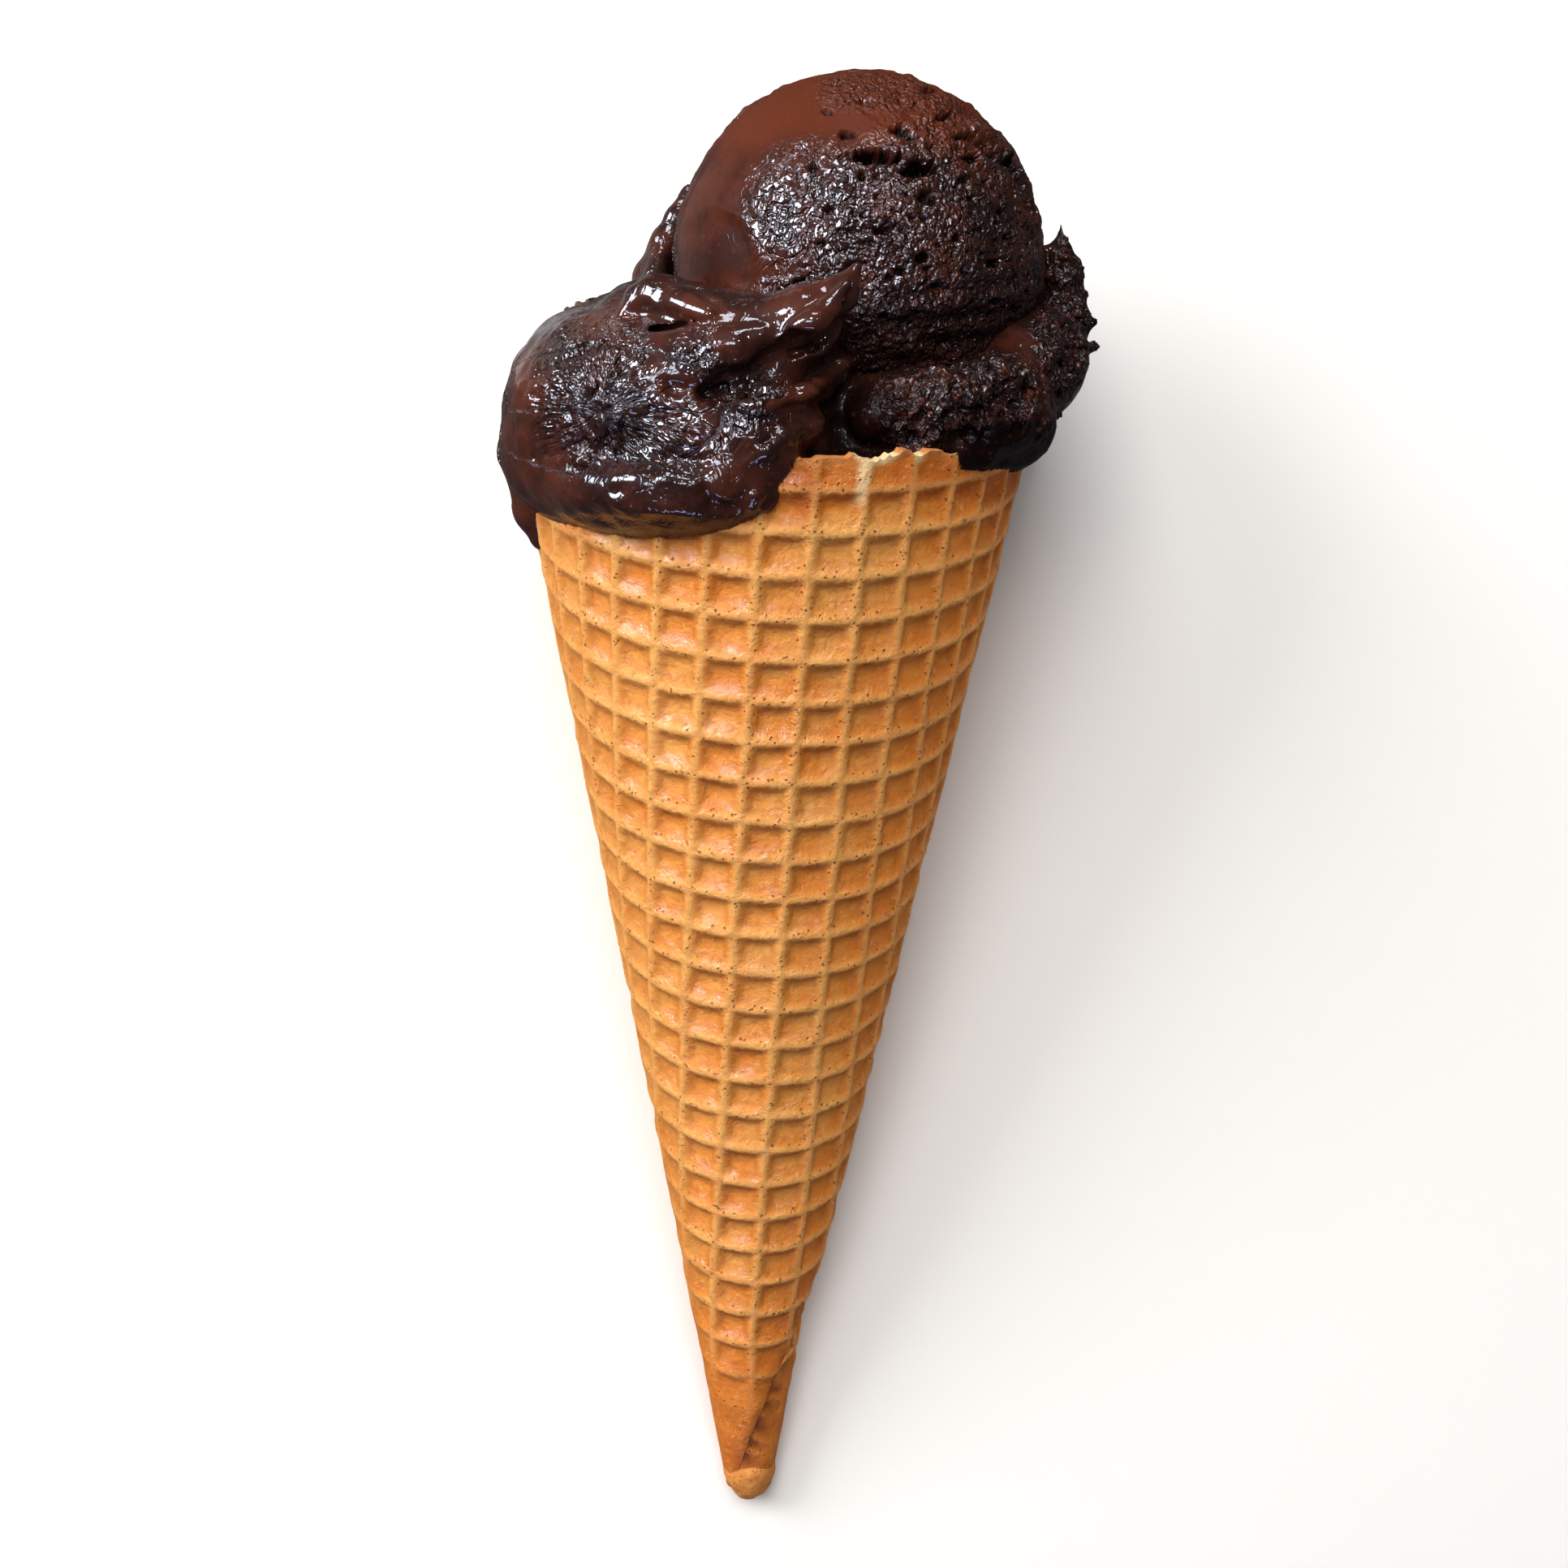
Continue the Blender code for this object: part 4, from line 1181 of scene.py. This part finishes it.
# Holes of the upper scoop: pixel, half width and half height in pixels, depth in millimetres
BALL_HOLES = (
    (1079, 192, 30, 9, 2.4), (1132, 208, 20, 11, 2.6), (1143, 243, 12, 8, 1.1), (1046, 164, 10, 6, 1.1),
    (1108, 160, 12, 7, 1.3), (989, 350, 10, 8, 1.2), (1000, 205, 8, 6, 0.9), (1062, 214, 6, 7, 0.8),
    (1165, 145, 13, 5, 1.2), (1145, 113, 12, 4, 1.2), (1185, 172, 14, 5, 1.2), (1195, 197, 8, 6, 1.1),
    (1225, 192, 12, 6, 1.6), (1246, 208, 9, 16, 3.0), (1258, 226, 6, 10, 2.2), (1225, 325, 9, 7, 1.0),
    (1135, 318, 11, 6, 1.3), (1085, 285, 14, 4, 1.0), (1240, 292, 6, 5, 0.8), (1020, 258, 7, 5, 0.7),
    (1187, 222, 9, 5, 0.9), (1062, 265, 12, 4, 0.9), (1127, 168, 10, 4, 1.1), (1017, 137, 7, 4, 0.8),
    (1110, 335, 8, 5, 0.9), (1155, 352, 10, 4, 0.8), (1225, 372, 10, 5, 0.9), (1010, 300, 10, 3, 0.7),
)
BALL_CREASES = (
    (((1078, 402), (1130, 398), (1190, 392), (1240, 385), (1285, 368)), 1.1, 0.55),
    (((1140, 420), (1180, 424), (1225, 414), (1265, 398), (1290, 382)), 1.0, 0.55),
    (((1090, 372), (1140, 362), (1200, 358), (1250, 346)), 0.9, 0.35),
    (((1050, 285), (1080, 282), (1110, 284)), 0.6, 0.6),
    (((1205, 180), (1235, 196), (1256, 222), (1266, 250)), 1.2, 0.9),
)

# Zones of the upper scoop, each an ellipse's middle and then its half sizes, in pixels
BALL_FOIL = (1005, 262, 82, 88)
BALL_RIGHT_FOIL = (1085, 250, 80, 70)
BALL_LEFT_FOIL = (985, 365, 55, 28)
BALL_LOW_FOIL = (1080, 320, 60, 50)
BALL_PATCH = (878, 335, 58, 75)

# Where other zones of the upper scoop begin and where they are full, in pixels. The top zone is painted
# lighter, and the side and foot zones are painted darker.
BALL_GRAIN_LEFT = (1015, 1130)
BALL_GRAIN_LEVEL = 250
CROWN_FOOT = (150, 120)
CROWN_LEFT = (985, 1030)
CRUMBLY_LEFT = (1040, 1220)
CRUMBLY_LEVEL = 230
CRUMBLY_FOOT = (330, 250)
PATCH_RIM_LEFT = (860, 915)
BALL_TOP = (230, 120)
BALL_SIDE = (1120, 1240)
BALL_FOOT = (340, 430)
BALL_FOOT_LEFT = (1000, 1060)


def ball_zones(directions):
    """Shares of foil and grain over the upper scoop, its pixels and how far it faces the camera."""
    places = BALL_CENTRE + directions * BALL_RADIUS
    x, y = pixel_of(places)
    front = ramp(0.0, 0.25, facing(places, directions))
    wobble = 14.0 * noise(directions, 0.35, 60)
    foil = np.maximum.reduce([
        spread_zone(x + wobble, y, BALL_FOIL, 0.25),
        0.9 * spread_zone(x, y + wobble, BALL_RIGHT_FOIL),
        spread_zone(x, y, BALL_LEFT_FOIL),
        0.6 * spread_zone(x, y, BALL_LOW_FOIL),
    ])
    grain = front * ramp(*BALL_GRAIN_LEFT, x + wobble + 0.35 * (y - BALL_GRAIN_LEVEL))
    grain = np.maximum(grain, front * ramp(*CROWN_FOOT, y) * ramp(*CROWN_LEFT, x + wobble))
    back = 1.0 - front
    patches = noise(directions, 0.45, 61)
    foil = front * foil + back * ramp(0.1, 0.5, patches)
    grain = np.maximum(grain, back * ramp(-0.3, 0.2, -patches))
    return foil, grain, x, y, front


def ball_relief(directions):
    """How far the upper scoop's surface stands out of its sphere, and its shares of foil, grain and pits."""
    place = directions * BALL_RADIUS
    foil, grain, x, y, front = ball_zones(directions)
    relief = 0.35 * noise(place, 16.0, 51) + 0.12 * noise(place, 6.0, 50)
    relief += foil * (0.14 * noise(place, 3.2, 52) - 0.16 * worms(place, 1.6, 53))
    relief += grain * (0.28 * noise(place, 3.4, 57) + 0.2 * noise(place, 1.5, 58))
    relief += grain * 0.12 * noise(place, 0.85, 59)
    cavities = noise(place * np.array((0.8, 1.7, 1.0)), 1.7, 65) + 0.4 * noise(place, 0.9, 66)
    relief -= (0.35 * foil + grain) * 0.75 * ramp(0.42, 0.72, cavities)
    dip = np.zeros(len(place))
    for *ellipse, depth in BALL_HOLES:
        wave = 0.5 * noise(place, 1.2, 62) + 0.3 * noise(place, 0.6, 68)
        reach = ellipse_reach(x, y, ellipse) + wave
        dip = np.maximum(dip, front * depth * (1.0 - ramp(0.55, 1.15, reach)))
    draws = np.random.default_rng(23)
    for _ in range(BALL_PITS):
        aim = draws.normal(0.0, 1.0, 3)
        aim /= np.linalg.norm(aim)
        size = 0.75 * draws.uniform(0.4, 1.0) ** 2
        squash, depth = draws.uniform(0.4, 0.9), draws.uniform(0.25, 0.7)
        near = np.nonzero(directions @ aim > 0.995)[0]
        offset = place[near] - aim * BALL_RADIUS
        reach = np.sqrt(offset[:, 0] ** 2 + (offset[:, 1] / squash) ** 2 + offset[:, 2] ** 2) / size
        allowed = 0.15 * foil[near] + grain[near]
        dip[near] = np.maximum(dip[near], np.minimum(1.0, allowed) * depth * (1.0 - ramp(0.6, 1.2, reach)))
    for pixels, width, depth in BALL_CREASES:
        reach = line_distance(place, [on_ball(px, py) * BALL_RADIUS for px, py in pixels]) / width
        relief -= depth * np.exp(-reach ** 2) - 0.4 * depth * np.exp(-(reach - 2.0) ** 2)
    patch = ellipse_reach(x, y, BALL_PATCH) + 0.05 * noise(place, 5.0, 67)
    right_side = ramp(*PATCH_RIM_LEFT, x)
    relief -= 0.2 * front * (1.0 - ramp(0.8, 1.02, patch))
    relief += 0.28 * right_side * front * np.exp(-((patch - 1.07) / 0.08) ** 2)
    crumbly = ramp(*CRUMBLY_LEFT, x + 0.3 * (CRUMBLY_LEVEL - y)) * ramp(*CRUMBLY_FOOT, y)
    relief += 0.45 * crumbly * noise(place, 2.2, 63) + 0.2 * crumbly * noise(place, 1.0, 64)
    return relief - dip, foil, grain, np.clip(dip, 0.0, 1.0)


def scoop_upper():
    directions, faces = cube_sphere(BALL_NET_SIDE)
    relief, foil, grain, pits = ball_relief(directions)
    places = BALL_CENTRE + directions * (BALL_RADIUS + relief)[:, None]
    obj = mesh_object("ice_upper", places, faces)
    satin = np.clip(1.0 - foil - grain, 0.0, 1.0)
    x, y = pixel_of(places)
    top = ramp(*BALL_TOP, y)
    side = ramp(*BALL_SIDE, x)
    low = ramp(*BALL_FOOT, y) * ramp(*BALL_FOOT_LEFT, x)
    wet = 0.5 + 0.5 * foil + 0.25 * grain - 0.35 * satin - 0.35 * top
    # Painted light and shade: lighter on the top, darker on the right side and at the foot; satin is a
    # little redder.
    warm = 0.15 + 0.2 * satin + top * (1.0 - 0.6 * side) - 0.1 * side - 0.6 * low
    sphere = directions * BALL_RADIUS
    store(
        obj, place=BALL_CENTRE + sphere, weave=BALL_CENTRE + sphere * np.array((1.0, 0.75, 1.0)),
        foil=foil, grain=grain, satin=satin,
        wet=np.clip(wet * (1.0 - 0.6 * low), 0.0, 1.0), warm=np.clip(warm, -0.5, 1.3),
        hollow=np.maximum(hollows(obj, places, 0.9), 0.5 + 0.5 * pits),
    )
    move_vertices(obj, to_ground(places))
    return obj


# Materials

class Finish:
    """A material whose nodes are laid with short calls."""

    def __init__(self, name):
        self.material = bpy.data.materials.new(name)
        self.material.use_nodes = True
        self.tree = self.material.node_tree
        self.shader = self.tree.nodes["Principled BSDF"]

    def feed(self, socket, value):
        if isinstance(value, bpy.types.NodeSocket):
            self.tree.links.new(value, socket)
        elif isinstance(value, tuple) and socket.type == "RGBA":
            socket.default_value = (*value, 1.0)
        else:
            socket.default_value = value

    def add(self, kind, feeds, **settings):
        node = self.tree.nodes.new(kind)
        for name, value in settings.items():
            setattr(node, name, value)
        for name, value in feeds.items():
            self.feed(node.inputs[name], value)
        return node

    def number(self, name):
        return self.add("ShaderNodeAttribute", {}, attribute_name=name).outputs["Fac"]

    def vector(self, name):
        return self.add("ShaderNodeAttribute", {}, attribute_name=name).outputs["Vector"]

    def maths(self, operation, first, second=0.0, third=0.0):
        feeds = {0: first, 1: second, 2: third}
        return self.add("ShaderNodeMath", feeds, operation=operation).outputs[0]

    def times(self, first, second):
        return self.maths("MULTIPLY", first, second)

    def between(self, value, low, high, start=0.0, end=1.0):
        """A value eased from start to end as it goes from low to high."""
        feeds = {"Value": value, "From Min": low, "From Max": high, "To Min": start, "To Max": end}
        return self.add("ShaderNodeMapRange", feeds, interpolation_type="SMOOTHSTEP").outputs["Result"]

    def blend(self, share, first, second):
        node = self.add("ShaderNodeMix", {}, data_type="RGBA")
        for index, value in ((0, share), (6, first), (7, second)):
            self.feed(node.inputs[index], value)
        return node.outputs[2]

    def tint(self, colour, share, strength, paint):
        """A colour with a share of paint on it, at most as strong as this."""
        return self.blend(self.times(share, strength), colour, paint)

    def noise(self, place, size, detail=3.0, roughness=0.5):
        feeds = {"Vector": place, "Scale": 1.0 / size, "Detail": detail, "Roughness": roughness}
        return self.add("ShaderNodeTexNoise", feeds).outputs["Fac"]

    def cells(self, place, size):
        feeds = {"Vector": place, "Scale": 1.0 / size}
        return self.add("ShaderNodeTexVoronoi", feeds).outputs["Distance"]

    def grooves(self, value, width):
        """0 along the winding lines where the value is at its middle, and 1 between them."""
        gap = self.maths("ABSOLUTE", self.maths("SUBTRACT", value, 0.5))
        return self.between(gap, 0.0, width)

    def vector_maths(self, operation, first, second):
        return self.add("ShaderNodeVectorMath", {0: first, 1: second}, operation=operation).outputs[0]

    def shifted(self, place, size, amount):
        """The place moved about by noise, so that patterns on it bend."""
        feeds = {"Vector": place, "Scale": 1.0 / size, "Detail": 2.0}
        drift = self.add("ShaderNodeTexNoise", feeds).outputs["Color"]
        centred = self.vector_maths("SUBTRACT", drift, (0.5, 0.5, 0.5))
        scaled = self.vector_maths("MULTIPLY", centred, (amount, amount, amount))
        return self.vector_maths("ADD", place, scaled)

    def bump(self, height, depth, under=None):
        """Relief as deep as this in millimetres where the height goes from 0 to 1."""
        feeds = {"Height": height, "Distance": depth * MM, "Strength": 1.0}
        if under is not None:
            feeds["Normal"] = under
        return self.add("ShaderNodeBump", feeds).outputs["Normal"]

    def surface(self, **feeds):
        for name, value in feeds.items():
            self.feed(self.shader.inputs[name.replace("_", " ")], value)


def ice_finish(name, dark, red):
    """Dark chocolate ice: satin where scooped smooth, wet and wrinkled like foil, or grainy, with painted
    light and shade in its colour.
    """
    finish = Finish(name)
    place = finish.vector("place")
    foil, grain, satin, warm = (finish.number(zone) for zone in ("foil", "grain", "satin", "warm"))
    hollow = finish.number("hollow")
    bent = finish.shifted(finish.vector("weave"), 2.2, 1.3)
    broad = finish.grooves(finish.noise(bent, 1.9, 1.0), 0.07)
    close = finish.grooves(finish.noise(bent, 1.0, 1.0), 0.08)
    specks = finish.noise(place, 0.75, 1.5, 0.6)
    tone = finish.noise(place, 7.0, 4.0, 0.6)
    plain = finish.maths("MULTIPLY_ADD", satin, -0.07, 0.1)
    crinkled = finish.maths("MAXIMUM", finish.maths("MAXIMUM", foil, plain), finish.times(grain, 0.7))
    normal = finish.bump(finish.times(broad, crinkled), 0.3)
    normal = finish.bump(finish.times(close, crinkled), 0.16, normal)
    beads = finish.between(finish.cells(place, 0.9), 0.5, 0.1)
    normal = finish.bump(finish.times(beads, grain), 0.2, normal)
    grainy = finish.maths("MULTIPLY_ADD", grain, 0.96, finish.maths("MULTIPLY_ADD", satin, -0.03, 0.04))
    normal = finish.bump(finish.times(specks, grainy), 0.6, normal)
    # Painted light and shade: the tone share makes lit parts lighter and redder and shaded parts darker,
    # over a random tone.
    lit = finish.maths("MULTIPLY_ADD", finish.between(tone, 0.38, 0.66), 0.5, warm)
    colour = finish.blend(finish.between(lit, 0.0, 1.3), dark, red)
    # Painted shade: darker in hollows, in the pits, under the skirt and in the gap beside it.
    sunk = finish.between(hollow, 0.55, 0.95)
    colour = finish.blend(sunk, colour, tuple(0.25 * value for value in dark))
    flecks = finish.between(finish.noise(place, 0.7, 2.0), 0.62, 0.72)
    colour = finish.tint(colour, flecks, 0.35, tuple(1.6 * value for value in red))
    rough = finish.maths("MULTIPLY_ADD", satin, 0.08, 0.4)
    dull = finish.times(grain, finish.between(finish.noise(place, 0.8, 2.0), 0.56, 0.46))
    wet = finish.times(finish.number("wet"), finish.maths("MULTIPLY_ADD", dull, -0.5, 1.0))
    wet = finish.times(wet, finish.maths("MULTIPLY_ADD", sunk, -0.8, 1.0))
    finish.surface(
        Base_Color=colour, Roughness=rough, Specular_IOR_Level=0.03, Coat_Weight=wet, Coat_Roughness=0.045,
        Coat_IOR=1.45, Normal=normal, Coat_Normal=normal,
    )
    return finish.material


def wafer_finish(name):
    """Baked waffle: pale golden ridges, orange-brown pressed cells, pores, blisters and toasted patches,
    with painted shade under the ridges and by the seam.
    """
    finish = Finish(name)
    flat = finish.vector("flat")
    pressed, toast = finish.number("pressed"), finish.number("toast")
    cream, nose_share = finish.number("cream"), finish.number("nose")
    mottle = finish.noise(flat, 5.0, 5.0, 0.6)
    crinkle = finish.noise(finish.shifted(flat, 1.4, 0.8), 0.85, 5.0, 0.62)
    fine = finish.noise(flat, 0.3, 3.0, 0.6)
    browned = finish.maths("MULTIPLY_ADD", finish.maths("SUBTRACT", mottle, 0.5), 0.9, toast)
    golden = finish.blend(finish.between(browned, 0.0, 0.55), (0.8, 0.355, 0.078), (0.72, 0.225, 0.027))
    baked = finish.blend(finish.between(browned, 0.5, 1.1), golden, (0.5, 0.115, 0.008))
    wall = finish.times(finish.between(pressed, 0.15, 0.6), finish.between(pressed, 1.0, 0.7))
    colour = finish.tint(baked, wall, 0.35, (0.4, 0.105, 0.013))
    crest = finish.between(pressed, 0.3, 0.0)
    colour = finish.tint(colour, crest, 0.45, (0.8, 0.44, 0.15))
    freckle = finish.between(crinkle, 0.56, 0.7)
    colour = finish.tint(colour, freckle, 0.36, (0.88, 0.5, 0.19))
    dusk = finish.between(crinkle, 0.44, 0.3)
    colour = finish.tint(colour, dusk, 0.45, (0.4, 0.1, 0.012))
    # Painted shade: a dashed dark line close under each ridge.
    crease, slope = finish.number("crease"), finish.number("slope")
    dashes = finish.between(finish.noise(flat, 0.9, 3.0), 0.38, 0.56)
    colour = finish.tint(colour, finish.times(crease, dashes), 0.45, (0.32, 0.075, 0.008))
    pore_gap = finish.cells(finish.shifted(flat, 0.9, 0.5), 0.8)
    pore_here = finish.between(finish.noise(flat, 1.8, 2.0), 0.4, 0.5)
    pore_here = finish.times(pore_here, finish.between(pressed, 0.5, 0.25))
    pore = finish.times(finish.between(pore_gap, 0.24, 0.12), pore_here)
    colour = finish.tint(colour, pore, 0.75, (0.34, 0.09, 0.012))
    colour = finish.tint(colour, nose_share, 0.45, (0.76, 0.32, 0.07))
    # Painted shade by the seam and along the outer flap's edge.
    colour = finish.blend(finish.number("scorch"), colour, (0.16, 0.035, 0.005))
    colour = finish.blend(cream, colour, (0.85, 0.62, 0.33))
    normal = finish.bump(crinkle, 0.3)
    normal = finish.bump(fine, 0.05, normal)
    normal = finish.bump(pore, -0.25, normal)
    rough = finish.between(fine, 0.3, 0.7, 0.4, 0.55)
    glaze = finish.times(slope, finish.between(finish.noise(flat, 3.0, 3.0), 0.4, 0.6))
    finish.surface(
        Base_Color=colour, Roughness=rough, Specular_IOR_Level=0.08,
        Coat_Weight=finish.maths("MULTIPLY_ADD", glaze, 0.6, 0.03), Coat_Roughness=0.16,
        Normal=normal, Coat_Normal=normal,
    )
    return finish.material


def floor_finish():
    finish = Finish("pale_floor")
    place = finish.add("ShaderNodeTexCoord", {}).outputs["Object"]
    colour = finish.blend(finish.noise(place, 0.05, 2.0), (0.86, 0.86, 0.86), (0.88, 0.88, 0.88))
    finish.surface(Base_Color=colour, Roughness=0.7, Specular_IOR_Level=0.2)
    return finish.material


# Studio

def floor():
    half = 1.6
    points = [(-half, -half, 0.0), (half, -half, 0.0), (half, half, 0.0), (-half, half, 0.0)]
    obj = mesh_object("floor", points, [(0, 1, 2, 3)], False)
    obj.data.materials.append(floor_finish())
    obj.visible_glossy = False
    return obj


def camera():
    data = bpy.data.cameras.new("camera")
    data.sensor_width = SENSOR_WIDTH
    data.lens = SENSOR_WIDTH * CAMERA_DISTANCE / FRAME_SIDE
    data.clip_start = 0.01
    obj = bpy.data.objects.new("camera", data)
    bpy.context.scene.collection.objects.link(obj)
    place = Matrix.Translation(Vector(CAMERA_PLACE) * MM)
    obj.matrix_world = cone_axes() @ place @ Matrix(CAMERA_AXES.tolist()).to_4x4()
    bpy.context.scene.camera = obj


def lamp(name, direction, distance, size, power, colour=(1.0, 1.0, 1.0)):
    """A soft lamp that faces the cone from a direction given as the camera sees it."""
    data = bpy.data.lights.new(name, "AREA")
    data.shape = "RECTANGLE"
    data.size, data.size_y = size
    data.energy = power
    data.color = colour
    obj = bpy.data.objects.new(name, data)
    bpy.context.scene.collection.objects.link(obj)
    target = cone_axes() @ Vector((0.0, LAMPS_AIM * MM, 0.0))
    seen = Matrix(CAMERA_AXES.tolist()) @ Vector(direction).normalized()
    offset = cone_axes().to_3x3() @ seen * distance
    obj.location = target + offset
    obj.rotation_euler = offset.to_track_quat("Z", "Y").to_euler()
    return obj


def studio():
    world = bpy.data.worlds.new("studio")
    bpy.context.scene.world = world
    world.use_nodes = True
    back = world.node_tree.nodes["Background"]
    back.inputs["Color"].default_value = (0.95, 0.96, 1.0, 1.0)
    back.inputs["Strength"].default_value = 0.1
    for gleam in (
        lamp("window", (-0.73, 0.42, 0.57), 0.8, (0.37, 0.41), 27.0, (0.76, 0.84, 1.0)),
        lamp("back_window", (0.05, 0.9, 0.5), 0.9, (0.3, 0.2), 6.0, (0.84, 0.9, 1.0)),
        lamp("front_window", (-0.2, 0.12, 0.97), 1.0, (0.2, 0.34), 7.0, (0.76, 0.84, 1.0)),
        lamp("low_window", (-0.1, -0.85, 0.35), 0.7, (0.4, 0.14), 3.2, (0.48, 0.53, 1.0)),
        lamp("left_spark", (-0.15, 0.4, 0.9), 1.0, (0.06, 0.06), 6.0, (0.9, 0.95, 1.0)),
        lamp("right_spark", (0.35, 0.25, 0.9), 1.0, (0.06, 0.06), 2.5, (1.0, 0.92, 0.9)),
    ):
        gleam.visible_diffuse = False
    for width, power in SHEEN_LAMPS:
        sheen = lamp("sheen", (-1.0, 0.0, 0.1), 0.3, (width, SHEEN_LENGTH), power)
        sheen.location = (SHEEN_RIGHT - 0.5 * width, SHEEN_MIDDLE, SHEEN_HEIGHT)
        sheen.rotation_euler = (math.pi, 0.0, 0.0)
        sheen.visible_diffuse = False
        sheen.visible_camera = False
    for glow in (
        lamp("side", (-0.73, 0.42, 0.57), 0.9, (0.5, 0.5), 7.2, WARM_LIGHT),
        lamp("front", (-0.06, 0.46, 0.88), 1.2, (0.8, 0.8), 14.6, WARM_LIGHT),
    ):
        glow.visible_glossy = False


def main():
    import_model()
    pieces = (
        ("waffle_cone", waffle_cone(), "baked_wafer", wafer_finish("baked_wafer")),
        ("scoop_upper", scoop_upper(), "chocolate_ice_upper", ice_finish("chocolate_ice_upper", *UPPER_ICE)),
        ("scoop_lower", scoop_lower(), "chocolate_ice_lower", ice_finish("chocolate_ice_lower", *LOWER_ICE)),
    )
    for node, piece, slot, finish in pieces:
        piece.data.materials.append(finish)
        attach(piece, "root")
        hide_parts(node)
    floor()
    camera()
    studio()
    bpy.context.scene.view_settings.view_transform = "Standard"


main()
